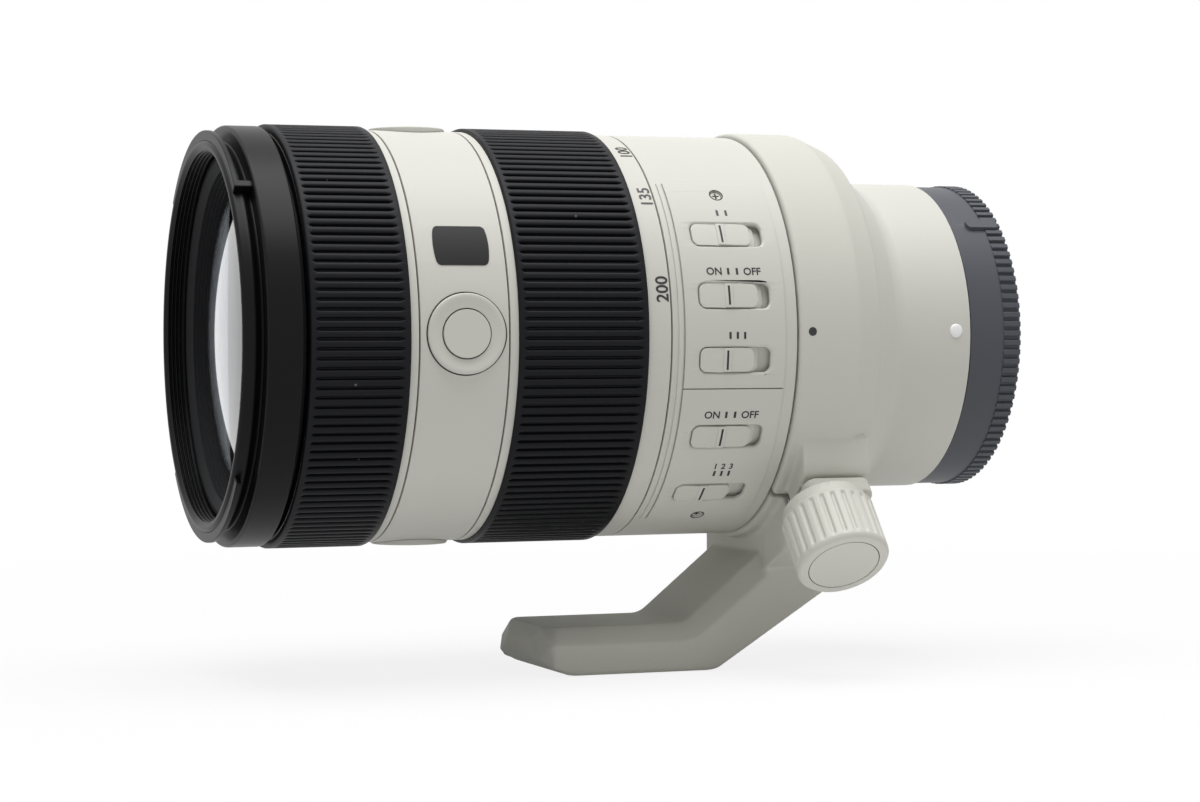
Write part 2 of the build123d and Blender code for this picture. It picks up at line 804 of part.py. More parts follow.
# Main board, rods and linear motor of the focus group
board_thickness = 1.2
board_gap = 0.5
board_inner = 20.0
rod_radius = 1.2
rod_ring_radius = 26.2
rod_angles = [20.0, 200.0]
focus_length = 7.0
focus_glass_radius = 15.0
focus_glass_thickness = 5.0
focus_glass_curve = -90.0
focus_outer = 21.5
board_front = stabiliser_front + stabiliser_length + board_gap
focus_front = board_front + board_thickness + focus_travel + board_gap
rear_cell_front = focus_front + focus_length + focus_travel + board_gap
with BuildPart() as main_board:
    tube(board_front, board_front + board_thickness, neck_inner - board_gap, board_inner)
    with BuildSketch(Plane.YZ.offset(board_front - cut_over)) as rod_holes:
        for angle in rod_angles:
            turn = radians(angle)
            with Locations((-rod_ring_radius * cos(turn), rod_ring_radius * sin(turn))):
                Circle(rod_radius + run_gap)
    extrude(rod_holes.sketch, amount=board_thickness + 2 * cut_over, mode=Mode.SUBTRACT)
save(main_board, "main_board")

with BuildPart() as guide_rods:
    with BuildSketch(Plane.YZ.offset(board_front - board_gap)) as rod_ends:
        for angle in rod_angles:
            turn = radians(angle)
            with Locations((-rod_ring_radius * cos(turn), rod_ring_radius * sin(turn))):
                Circle(rod_radius)
    extrude(rod_ends.sketch, amount=rear_cell_front - board_front + board_gap)
save(guide_rods, "guide_rods")

ear_radius = 3.0
with BuildPart() as focus_carriage:
    tube(focus_front, focus_front + focus_length, focus_outer, focus_glass_radius + seat_gap)
    with BuildSketch(Plane.YZ.offset(focus_front)) as ears:
        for angle in rod_angles:
            turn = radians(angle)
            with Locations((-rod_ring_radius * cos(turn), rod_ring_radius * sin(turn))):
                Circle(ear_radius)
            middle = (rod_ring_radius + focus_outer) / 2
            with Locations(Location((-middle * cos(turn), middle * sin(turn)), 180 - angle)):
                Rectangle(rod_ring_radius - focus_outer + ear_radius, 2 * ear_radius)
    extrude(ears.sketch, amount=focus_length)
    with BuildSketch(Plane.YZ.offset(focus_front - cut_over)) as ear_holes:
        for angle in rod_angles:
            turn = radians(angle)
            with Locations((-rod_ring_radius * cos(turn), rod_ring_radius * sin(turn))):
                Circle(rod_radius + run_gap)
    extrude(ear_holes.sketch, amount=focus_length + 2 * cut_over, mode=Mode.SUBTRACT)
    tube(focus_front - cut_over, focus_front + focus_length + cut_over, focus_glass_radius + seat_gap, 0,
         Mode.SUBTRACT)
save(focus_carriage, "focus_carriage")

with BuildPart() as focus_glass:
    glass_front = focus_front + (focus_length - focus_glass_thickness) / 2
    lens(glass_front, glass_front + focus_glass_thickness, focus_glass_radius,
         focus_glass_curve, focus_glass_curve)
save(focus_glass, "focus_glass")

motor_angle = 110.0
motor_span = 34.0
motor_gap = 0.6
motor_thickness = 3.4
with BuildPart() as focus_motor:
    sector(board_front + board_thickness, rear_cell_front, focus_outer + motor_gap + motor_thickness,
           focus_outer + motor_gap, motor_angle - motor_span / 2, motor_angle + motor_span / 2)
save(focus_motor, "focus_motor")

# Rear fixed group
rear_glass_radius = 16.0
rear_glass_thickness = 5.5
rear_glass_curve = 110.0
rear_glass_back_curve = -300.0
rear_cell_gap = 2.2
rear_cell_end = rear_tube_end - rear_cell_gap
with BuildPart() as rear_cell:
    turned(
        [
            (rear_cell_front, rear_glass_radius + seat_gap),
            (rear_cell_front, neck_inner - seat_gap),
            (rear_tube_end, neck_inner - seat_gap),
            (rear_tube_end, neck_inner - carriage_wall),
            (rear_cell_end, neck_inner - carriage_wall),
            (rear_cell_end, rear_glass_radius + seat_gap),
        ]
    )
save(rear_cell, "rear_cell")

with BuildPart() as rear_glass:
    lens(rear_cell_end - rear_glass_thickness, rear_cell_end, rear_glass_radius,
         rear_glass_curve, rear_glass_back_curve)
save(rear_glass, "rear_glass")

# Bayonet mount with three tabs, its screws, gasket and contacts
mount_flange_radius = 29.6
throat_radius = 21.2
bayonet_wall = 1.3
bayonet_length = 5.0
bayonet_tab_radius = 24.2
bayonet_tab_width = 1.5
bayonet_tab_angle = 40.0
bayonet_tab_middles = [90.0, 210.0, 330.0]
mount_screw_circle = 26.6
mount_screw_radius = 1.4
mount_screw_angles = [45.0, 135.0, 225.0, 315.0]
screw_length = 1.2
bayonet_radius = throat_radius + bayonet_wall
with BuildPart() as bayonet_mount:
    tube(rear_tube_end, 0, mount_flange_radius, throat_radius)
    tube(-flange_thickness / 2, bayonet_length, bayonet_radius, throat_radius)
    for middle in bayonet_tab_middles:
        sector(bayonet_length - bayonet_tab_width, bayonet_length, bayonet_tab_radius,
               bayonet_radius - seat_gap, middle - bayonet_tab_angle / 2, middle + bayonet_tab_angle / 2)
    with BuildSketch(Plane.YZ.offset(-screw_length)) as screw_seats:
        with PolarLocations(mount_screw_circle, len(mount_screw_angles), mount_screw_angles[0]):
            Circle(mount_screw_radius + seat_gap)
    extrude(screw_seats.sketch, amount=screw_length + cut_over, mode=Mode.SUBTRACT)
save(bayonet_mount, "bayonet_mount")

with BuildPart() as mount_screws:
    with BuildSketch(Plane.YZ.offset(-screw_length + seat_gap)) as screw_heads:
        with PolarLocations(mount_screw_circle, len(mount_screw_angles), mount_screw_angles[0]):
            Circle(mount_screw_radius)
    extrude(screw_heads.sketch, amount=screw_length - 2 * seat_gap)
save(mount_screws, "mount_screws")

gasket_radius = 30.4
with BuildPart() as mount_gasket:
    tube(rear_tube_end, -end_gap, gasket_radius, mount_flange_radius + seat_gap)
save(mount_gasket, "mount_gasket")

contact_low = -116.0
contact_high = -64.0
contact_thickness = 2.2
contact_count = 10
contact_pin_radius = 0.55
contact_pin_proud = 0.15
contact_front = rear_tube_end + end_gap
contact_inner = throat_radius - seat_gap - contact_thickness
with BuildPart() as contact_block:
    sector(contact_front, bayonet_length - bayonet_tab_width, throat_radius - seat_gap, contact_inner,
           contact_low, contact_high)
save(contact_block, "contact_block")

with BuildPart() as contact_pins:
    pin_circle = contact_inner + contact_thickness / 2
    with BuildSketch(Plane.YZ.offset(bayonet_length - bayonet_tab_width)) as pin_faces:
        for pin in range(contact_count):
            turn = radians(contact_low + (contact_high - contact_low) * (pin + 0.5) / contact_count)
            with Locations((-pin_circle * cos(turn), pin_circle * sin(turn))):
                Circle(contact_pin_radius)
    extrude(pin_faces.sketch, amount=contact_pin_proud)
save(contact_pins, "contact_pins")

# Rear cap: a cup with a ribbed rim and three inner lugs
cap_length = 11.6
cap_skirt_length = 7.3
cap_radius = 31.0
cap_rib_radius = 31.3
cap_rib_depth = 0.6
cap_rib_count = 104
cap_wall = 1.5
cap_end_wall = 1.6
cap_front = rear_tube_end + end_gap
cap_mouth_radius = gasket_radius + end_gap
cap_cup_radius = cap_radius - cap_wall - cap_wall
cap_lug_radius = bayonet_radius + end_gap
cap_lug_width = 1.6
cap_lug_angle = 50.0
cap_lug_shift = 60.0
cap_bar_angle = 45.0
cap_bar_length = 7.0
cap_bar_width = 2.4
cap_bar_corner = 1.0
cap_bar_proud = 0.75
cap_bar_inset = 3.3
cap_end = cap_front + cap_length
cap_edge = 0.6
cap_lug_front = end_gap + end_gap
with BuildPart() as rear_cap:
    turned(
        [
            (cap_front, cap_mouth_radius),
            (end_gap, cap_mouth_radius),
            (end_gap, cap_cup_radius),
            (cap_end - cap_end_wall, cap_cup_radius),
            (cap_end - cap_end_wall, 0),
            (cap_end, 0),
            (cap_end, cap_radius - cap_rib_depth - cap_edge),
            (cap_end - cap_edge, cap_radius - cap_rib_depth),
            (cap_front + cap_skirt_length, cap_radius - cap_rib_depth),
            (cap_front + cap_skirt_length, cap_radius),
            (cap_front, cap_radius),
        ]
    )
    ribbed_ring(cap_front + cap_skirt_length, cap_end - cap_edge, cap_rib_count, cap_rib_radius,
                cap_rib_radius - cap_rib_depth, cap_radius - cap_rib_depth - cap_edge,
                rib_top_share, rib_root_share)
    for middle in bayonet_tab_middles:
        sector(cap_lug_front, cap_lug_front + cap_lug_width, cap_cup_radius + cut_over / 2, cap_lug_radius,
               middle + cap_lug_shift - cap_lug_angle / 2, middle + cap_lug_shift + cap_lug_angle / 2)
    slot_block(cap_bar_angle, cap_front + cap_bar_inset + cap_bar_length / 2, cap_radius - cap_wall / 2,
               cap_radius + cap_bar_proud, cap_bar_length, cap_bar_width, cap_bar_corner)
save(rear_cap, "rear_cap")

# Tripod collar: one casting of split ring, two clamp lugs, arm and foot, on a liner
knob_axis_angle = -48.5
split_angle = -50.6
split_width = 1.1
collar_edge = 0.4
collar_bevel_length = 5.6
lug_plane_height = 44.5
lug_gap = 0.8
lug_thickness = 3.5
lug_top_angle = -30.0
lug_front_inset = 2.6
lug_rear_inset = 1.6
lug_reach = 10.0
lug_start = 0.3
lower_lug_reach = 9.2
lower_lug_tail = 9.6
lower_lug_angle = -66.0
lower_lug_round = 2.4
arm_lug_height = 47.0
lug_shoulder = 1.2
screw_offset = 4.6
screw_inset = 6.8
screw_lens_place = collar_front + screw_inset
clamp_screw_radius = 2.0
clamp_hole_depth = 4.0
foot_height = 66.6
foot_top = 57.2
foot_half_width = 16.5
foot_bevel_width = 3.7
foot_nose_bevel = 4.5
foot_base_length = 30.7
foot_base_inset = 8.0
foot_nose_length = 46.3
foot_shoulder_length = 43.1
foot_nose_height = 59.8
foot_nose_low = 63.4
arm_root_length = 13.7
arm_front_reach = 3.0
arm_front_height = 43.5
arm_rear_inset = 0.8
arm_rear_height = 50.6
arm_round = 5.0
socket_length = 23.5
bush_radius = 4.6
bush_length = 7.0
socket_radius = 2.6
lug_front = collar_front + lug_front_inset
lug_rear = collar_rear - lug_rear_inset
foot_base_rear = collar_front - foot_base_inset
socket_place = collar_front - socket_length
split_half_angle = degrees(split_width / collar_radius) / 2
knob_axis = Vector(0, -cos(radians(knob_axis_angle)), sin(radians(knob_axis_angle)))
across_axis = Vector(0, knob_axis.Z, -knob_axis.Y)


def clamp_plane(height):
    """A plane square to the clamp screw, centred on it, at this distance from the lens axis."""
    place = knob_axis * height + across_axis * screw_offset + Vector(screw_lens_place, 0, 0)
    return Plane(origin=place, x_dir=(1, 0, 0), z_dir=knob_axis)


def clamp_point(height, across):
    """A point of a lug's outline, given from the lens axis along and across the screw."""
    point = knob_axis * height + across_axis * across
    return (point.Y, point.Z)


def ring_point(radius, angle):
    """A point on a circle round the lens axis, as seen along the axis."""
    return (-radius * cos(radians(angle)), radius * sin(radians(angle)))


with BuildPart() as tripod_collar:
    with BuildSketch(Plane.XZ) as foot_outline:
        with BuildLine():
            Polyline(
                (collar_rear - arm_rear_inset, -collar_inner / 2),
                (collar_rear - arm_rear_inset, -arm_rear_height),
                (foot_base_rear, -foot_height),
                (foot_base_rear - foot_base_length, -foot_height),
                (collar_front - foot_nose_length, -foot_nose_low),
                (collar_front - foot_nose_length, -foot_nose_height),
                (collar_front - foot_shoulder_length, -foot_top),
                (collar_front - arm_root_length, -foot_top),
                (collar_front + arm_front_reach, -arm_front_height),
                (collar_front + arm_front_reach, -collar_inner / 2),
                close=True,
            )
        make_face()
        fillet(foot_outline.vertices().filter_by(lambda v: abs(v.Y + foot_height) < seat_gap), arm_round)
        arm_root = collar_front - arm_root_length
        fillet(foot_outline.vertices().filter_by(lambda v: abs(v.X - arm_root) < seat_gap), arm_round)
    extrude(foot_outline.sketch, amount=foot_half_width, both=True)
    corners = tripod_collar.edges().filter_by(Axis.Z)
    chamfer(corners.filter_by(lambda e: e.center().X < collar_front - foot_shoulder_length), foot_nose_bevel)
    upper = tripod_collar.faces().filter_by(lambda f: f.normal_at().Z > 0.3 and f.center().X < collar_front)
    sides = upper.edges().filter_by(lambda e: abs(e.center().Y) > foot_half_width - foot_nose_bevel)
    chamfer(sides, foot_bevel_width)
    turned(
        [
            (collar_front, collar_inner),
            (collar_rear, collar_inner),
            (collar_rear, collar_rear_radius),
            (collar_rear - collar_bevel_length, collar_radius),
            (collar_front + collar_edge, collar_radius),
            (collar_front, collar_radius - collar_edge),
        ]
    )
    with BuildSketch(Plane.YZ.offset(lug_front)) as upper_lug:
        with BuildLine():
            Polyline(
                ring_point(collar_inner + collar_wall / 2, lug_top_angle),
                ring_point(collar_radius, lug_top_angle),
                clamp_point(lug_plane_height - lug_shoulder, lug_reach),
                clamp_point(lug_plane_height, lug_reach - lug_shoulder),
                clamp_point(lug_plane_height, lug_start),
                ring_point(collar_inner + collar_wall / 2, knob_axis_angle),
                close=True,
            )
        make_face()
    extrude(upper_lug.sketch, amount=lug_rear - lug_front)
    with BuildSketch(Plane.YZ.offset(lug_front)) as lower_lug:
        with BuildLine():
            near = lug_plane_height + lug_gap
            far = near + lug_thickness
            Polyline(
                clamp_point(near, lower_lug_reach),
                clamp_point(near, lug_start),
                ring_point(collar_inner + collar_wall / 2, split_angle - split_half_angle),
                ring_point(collar_inner + collar_wall / 2, lower_lug_angle),
                (-foot_half_width + cut_over, -arm_lug_height),
                clamp_point(far, -lower_lug_tail),
                clamp_point(far, lower_lug_reach),
                close=True,
            )
        make_face()
    extrude(lower_lug.sketch, amount=lug_rear - lug_front)
    corners = tripod_collar.edges().filter_by(lambda e: abs(e.tangent_at(0.5).dot(knob_axis)) > 1 - seat_gap)
    corners = corners.filter_by(lambda e: e.center().dot(across_axis) > lower_lug_reach - seat_gap)
    corners = corners.filter_by(lambda e: e.center().dot(knob_axis) > near)
    fillet(corners, lower_lug_round)
    tube(collar_front - foot_nose_length, collar_rear + cut_over, collar_inner, 0, Mode.SUBTRACT)
    sector(collar_front - cut_over, collar_rear + cut_over, lug_plane_height, collar_inner - cut_over,
           split_angle - split_half_angle, split_angle + split_half_angle, Mode.SUBTRACT)
    with BuildSketch(clamp_plane(lug_plane_height - clamp_hole_depth)) as tapped_hole:
        Circle(clamp_screw_radius + run_gap)
    extrude(tapped_hole.sketch, amount=clamp_hole_depth + lug_gap + lug_thickness + cut_over,
            mode=Mode.SUBTRACT)
    with BuildSketch(Plane.XY.offset(-foot_height)) as bush_hole:
        with Locations((socket_place, 0)):
            Circle(bush_radius + seat_gap)
    extrude(bush_hole.sketch, amount=bush_length + seat_gap, mode=Mode.SUBTRACT)
save(tripod_collar, "tripod_collar")

with BuildPart() as collar_liner:
    tube(collar_front + end_gap, collar_rear - end_gap, collar_inner - seat_gap, seat_radius + run_gap)
    sector(collar_front - cut_over, collar_rear + cut_over, collar_radius + cut_over, seat_radius - cut_over,
           split_angle - split_half_angle, split_angle + split_half_angle, Mode.SUBTRACT)
save(collar_liner, "collar_liner")

with BuildPart() as socket_bush:
    with BuildSketch(Plane.XY.offset(-foot_height)) as bush_ring:
        with Locations((socket_place, 0)):
            Circle(bush_radius)
            Circle(socket_radius, mode=Mode.SUBTRACT)
    extrude(bush_ring.sketch, amount=bush_length)
save(socket_bush, "socket_bush")

# Clamp knob with its screw and a plain disc in its face
knob_radius = 9.3
knob_neck_radius = 8.4
knob_neck_length = 2.4
knob_length = 14.2
knob_gap = 0.3
knob_edge = 0.9
knob_flute_count = 26
knob_flute_depth = 0.6
knob_face_slope = 20.0
flute_land_shares = [-0.45, 0.2]
flute_floor_shares = [0.3, 0.45]
disc_radius = 6.9
disc_depth = 0.6
knob_base = lug_plane_height + lug_gap + lug_thickness + knob_gap
with BuildPart() as clamp_knob:
    with BuildSketch(clamp_plane(knob_base)) as neck_circle:
        Circle(knob_neck_radius)
    extrude(neck_circle.sketch, amount=knob_neck_length)
    flute_pitch = 2 * pi / knob_flute_count
    flute_points = []
    for flute in range(knob_flute_count):
        for shares, radius in (
            (flute_land_shares, knob_radius),
            (flute_floor_shares, knob_radius - knob_flute_depth),
        ):
            for share in shares:
                turn = (flute + share) * flute_pitch
                flute_points.append((radius * cos(turn), radius * sin(turn)))
    with BuildSketch(clamp_plane(knob_base + knob_neck_length)) as fluted:
        with BuildLine():
            Polyline(*flute_points, close=True)
        make_face()
    extrude(fluted.sketch, amount=knob_length - knob_neck_length - knob_edge)
    with BuildSketch(clamp_plane(knob_base + knob_length - knob_edge)) as face_circle:
        Circle(knob_radius - knob_flute_depth)
    extrude(face_circle.sketch, amount=knob_edge, taper=knob_face_slope)
    with BuildSketch(clamp_plane(knob_base + knob_length - disc_depth)) as disc_seat:
        Circle(disc_radius + seat_gap)
    extrude(disc_seat.sketch, amount=disc_depth + cut_over, mode=Mode.SUBTRACT)
    with BuildSketch(clamp_plane(knob_base)) as shank_seat:
        Circle(clamp_screw_radius + seat_gap)
    extrude(shank_seat.sketch, amount=knob_length / 2, mode=Mode.SUBTRACT)
save(clamp_knob, "clamp_knob")

with BuildPart() as knob_disc:
    with BuildSketch(clamp_plane(knob_base + knob_length - disc_depth + seat_gap)) as disc_face:
        Circle(disc_radius)
    extrude(disc_face.sketch, amount=disc_depth - 2 * seat_gap)
save(knob_disc, "knob_disc")

with BuildPart() as clamp_screw:
    screw_tip = lug_plane_height - clamp_hole_depth + end_gap
    with BuildSketch(clamp_plane(screw_tip)) as shank:
        Circle(clamp_screw_radius)
    extrude(shank.sketch, amount=knob_base + knob_length / 2 - screw_tip - end_gap)
save(clamp_screw, "clamp_screw")
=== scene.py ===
"""Looks of a white telephoto zoom lens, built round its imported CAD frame.

Sizes are in millimetres unless a name says otherwise. The lens axis is X, from the front glass to the
camera, and the switches face -Y. Angles round the barrel start at the switch side and grow upwards.
"""

import json
import logging
import math
from dataclasses import dataclass, field
from enum import Enum
from typing import Optional, Sequence

import bmesh
import bpy
from mathutils import Matrix, Vector

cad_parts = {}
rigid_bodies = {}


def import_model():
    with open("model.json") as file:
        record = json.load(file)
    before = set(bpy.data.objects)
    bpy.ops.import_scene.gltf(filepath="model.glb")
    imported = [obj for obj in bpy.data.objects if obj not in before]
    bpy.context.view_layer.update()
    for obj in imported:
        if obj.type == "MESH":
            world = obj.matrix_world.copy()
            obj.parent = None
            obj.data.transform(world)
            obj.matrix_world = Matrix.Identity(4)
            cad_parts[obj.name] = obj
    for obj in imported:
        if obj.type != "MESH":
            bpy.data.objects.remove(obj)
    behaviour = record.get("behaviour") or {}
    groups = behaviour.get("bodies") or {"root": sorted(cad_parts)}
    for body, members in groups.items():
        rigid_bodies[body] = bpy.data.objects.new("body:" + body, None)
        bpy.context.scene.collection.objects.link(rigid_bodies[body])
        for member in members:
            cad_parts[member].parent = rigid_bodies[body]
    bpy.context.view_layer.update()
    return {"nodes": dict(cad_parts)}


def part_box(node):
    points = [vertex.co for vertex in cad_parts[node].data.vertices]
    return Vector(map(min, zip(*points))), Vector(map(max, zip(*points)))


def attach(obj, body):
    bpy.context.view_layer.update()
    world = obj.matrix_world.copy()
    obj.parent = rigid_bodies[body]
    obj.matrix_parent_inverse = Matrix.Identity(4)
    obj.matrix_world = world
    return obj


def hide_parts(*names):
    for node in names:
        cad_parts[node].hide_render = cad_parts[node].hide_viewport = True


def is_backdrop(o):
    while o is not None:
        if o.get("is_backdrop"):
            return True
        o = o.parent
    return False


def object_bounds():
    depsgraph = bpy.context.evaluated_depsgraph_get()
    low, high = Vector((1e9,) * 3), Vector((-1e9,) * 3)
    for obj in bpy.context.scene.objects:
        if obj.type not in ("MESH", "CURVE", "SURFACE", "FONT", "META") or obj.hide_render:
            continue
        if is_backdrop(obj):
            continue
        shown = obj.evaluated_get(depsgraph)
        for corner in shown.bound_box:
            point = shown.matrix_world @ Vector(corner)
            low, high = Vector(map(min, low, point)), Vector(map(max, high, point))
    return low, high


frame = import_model()

MM = 0.001
Point = tuple[float, float, float]
Colour = tuple[float, float, float]
Spot = tuple[float, float]
Row = tuple[float, float, float]
Faces = list[tuple[int, ...]]
Solid = tuple[list[Point], Faces]
Wire = tuple[bpy.types.NodeSocket, bpy.types.NodeSocket]
log = logging.getLogger("lens")


class Body(Enum):
    """CAD bodies that pieces ride on."""

    BARREL = "barrel"
    FOCUS = "focus_ring"
    ZOOM = "zoom_ring"
    FRONT = "front_barrel"
    COLLAR = "collar"
    KNOB = "knob"
    CAP = "rear_cap"
    SIDE_BUTTON = "side_button"
    TOP_BUTTON = "top_button"
    BOTTOM_BUTTON = "bottom_button"
    SWITCH_1 = "switch_1"
    SWITCH_2 = "switch_2"
    SWITCH_3 = "switch_3"
    SWITCH_4 = "switch_4"
    SWITCH_5 = "switch_5"


class Slot(Enum):
    """Material slots of the record."""

    PAINT = "white_paint"
    BLACK = "black_metal"
    RUBBER = "black_rubber"
    GLASS = "coated_glass"
    STEEL = "steel_screws"
    PLATE = "dark_plate"
    CREAM = "cream_plastic"
    CAP = "cap_plastic"
    BEAD = "white_bead"


def span(node: str) -> Spot:
    """Where a CAD node begins and ends along the lens.

    Args:
        node: the CAD node's name.

    Returns:
        Its front and rear places, in millimetres.
    """
    low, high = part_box(node)
    return low.x / MM, high.x / MM


def on_barrel(along: float, angle: float, radius: float) -> Point:
    """A point at this angle round the lens axis.

    Args:
        along: place along the lens.
        angle: degrees from the switch side, growing upwards.
        radius: distance from the axis.

    Returns:
        The point in millimetres.
    """
    turn = math.radians(angle)
    return along, -radius * math.cos(turn), radius * math.sin(turn)


# Shader effects shared by several finishes


def set_inputs(node: bpy.types.Node, values: dict[object, object]) -> None:
    """Sets input values of a node, by name or number."""
    for key, value in values.items():
        node.inputs[key].default_value = value


def join(tree: bpy.types.NodeTree, *wires: Wire) -> None:
    """Joins pairs of sockets, each from an output to an input."""
    for source, target in wires:
        tree.links.new(source, target)


def add_node(tree: bpy.types.NodeTree, kind: str, values: Optional[dict[object, object]] = None,
             **settings: object) -> bpy.types.Node:
    """Adds a shader node.

    Args:
        tree: the node tree that it goes in.
        kind: the node's type name.
        values: input values, by name or number.
        settings: properties to set on it.

    Returns:
        The new node.
    """
    made = tree.nodes.new(kind)
    for key, value in settings.items():
        setattr(made, key, value)
    set_inputs(made, values or {})
    return made


@dataclass(frozen=True)
class Socket:
    """One socket of an effect group."""

    name: str
    value: Optional[float] = None
    kind: str = "NodeSocketFloat"


class Effect:
    """A shader node group that is built once and placed in many materials."""

    name: str = "effect"
    inputs: tuple[Socket, ...] = ()
    outputs: tuple[Socket, ...] = ()

    def __init__(self) -> None:
        """Makes the group with its sockets and nodes."""
        self.tree = bpy.data.node_groups.new(self.name, "ShaderNodeTree")
        for sockets, side in ((self.inputs, "INPUT"), (self.outputs, "OUTPUT")):
            for socket in sockets:
                item = self.tree.interface.new_socket(socket.name, in_out=side, socket_type=socket.kind)
                if socket.value is not None:
                    item.default_value = socket.value
        self.source = self.node("NodeGroupInput")
        self.sink = self.node("NodeGroupOutput")
        self.place = self.node("ShaderNodeTexCoord").outputs["Object"]
        join(self.tree, *self.wires())

    def wires(self) -> Sequence[Wire]:
        """Adds the nodes between the group's input and output, and gives the wires that join them."""
        return ()

    def node(self, kind: str, values: Optional[dict[object, object]] = None, **settings: object
             ) -> bpy.types.Node:
        """Adds one node to the group."""
        return add_node(self.tree, kind, values, **settings)


class Grain(Effect):
    """Fine grain of a sprayed, cast or moulded surface, with slow patches."""

    name = "surface_grain"
    inputs = (Socket("Size", 2500.0), Socket("Patch Size", 60.0))
    outputs = (Socket("Height"), Socket("Patches"))

    def wires(self) -> Sequence[Wire]:
        """Two noises over the object's own coordinates.

        Returns:
            The wires of the group.
        """
        fine = self.node("ShaderNodeTexNoise", {"Detail": 4.0, "Roughness": 0.62})
        slow = self.node("ShaderNodeTexNoise", {"Detail": 2.0})
        return (
            (self.place, fine.inputs["Vector"]),
            (self.place, slow.inputs["Vector"]),
            (self.source.outputs["Size"], fine.inputs["Scale"]),
            (self.source.outputs["Patch Size"], slow.inputs["Scale"]),
            (fine.outputs["Fac"], self.sink.inputs["Height"]),
            (slow.outputs["Fac"], self.sink.inputs["Patches"]),
        )


class Turning(Effect):
    """Fine rings left by turning on a lathe, round the lens axis."""

    name = "turning_marks"
    inputs = (Socket("Pitch", 0.00012),)
    outputs = (Socket("Height"),)

    def wires(self) -> Sequence[Wire]:
        """A wave along the axis plus the distance from it.

        Returns:
            The wires of the group.
        """
        parts = self.node("ShaderNodeSeparateXYZ")
        flat = self.node("ShaderNodeCombineXYZ")
        away = self.node("ShaderNodeVectorMath", operation="LENGTH")
        total = self.node("ShaderNodeMath", operation="ADD")
        turns = self.node("ShaderNodeMath", operation="DIVIDE")
        wave = self.node("ShaderNodeMath", {1: 1.0}, operation="PINGPONG")
        return (
            (self.place, parts.inputs["Vector"]),
            (parts.outputs["Y"], flat.inputs["Y"]),
            (parts.outputs["Z"], flat.inputs["Z"]),
            (flat.outputs["Vector"], away.inputs[0]),
            (parts.outputs["X"], total.inputs[0]),
            (away.outputs["Value"], total.inputs[1]),
            (total.outputs["Value"], turns.inputs[0]),
            (self.source.outputs["Pitch"], turns.inputs[1]),
            (turns.outputs["Value"], wave.inputs[0]),
            (wave.outputs["Value"], self.sink.inputs["Height"]),
        )


class Dust(Effect):
    """Sparse pale specks that settle on dark surfaces."""

    name = "settled_dust"
    inputs = (Socket("Size", 900.0), Socket("Share", 0.04))
    outputs = (Socket("Mask"),)
    speck_reach = 0.22

    def wires(self) -> Sequence[Wire]:
        """Small cells, of which only the ones with a small random value are kept.

        Returns:
            The wires of the group.
        """
        cells = self.node("ShaderNodeTexVoronoi", feature="F1")
        near = self.node("ShaderNodeMath", {1: self.speck_reach}, operation="LESS_THAN")
        tone = self.node("ShaderNodeSeparateColor")
        rare = self.node("ShaderNodeMath", operation="LESS_THAN")
        both = self.node("ShaderNodeMath", operation="MULTIPLY")
        return (
            (self.place, cells.inputs["Vector"]),
            (self.source.outputs["Size"], cells.inputs["Scale"]),
            (cells.outputs["Distance"], near.inputs[0]),
            (cells.outputs["Color"], tone.inputs["Color"]),
            (tone.outputs["Red"], rare.inputs[0]),
            (self.source.outputs["Share"], rare.inputs[1]),
            (near.outputs["Value"], both.inputs[0]),
            (rare.outputs["Value"], both.inputs[1]),
            (both.outputs["Value"], self.sink.inputs["Mask"]),
        )


class Effects:
    """The shared effects, each made when it is first asked for."""

    made: dict[str, Effect] = {}

    @classmethod
    def tree(cls, kind: type[Effect]) -> bpy.types.NodeTree:
        """The node tree of one effect.

        Args:
            kind: the effect's class.

        Returns:
            Its shader node tree.
        """
        if kind.name not in cls.made:
            cls.made[kind.name] = kind()
        return cls.made[kind.name].tree


# Finishes


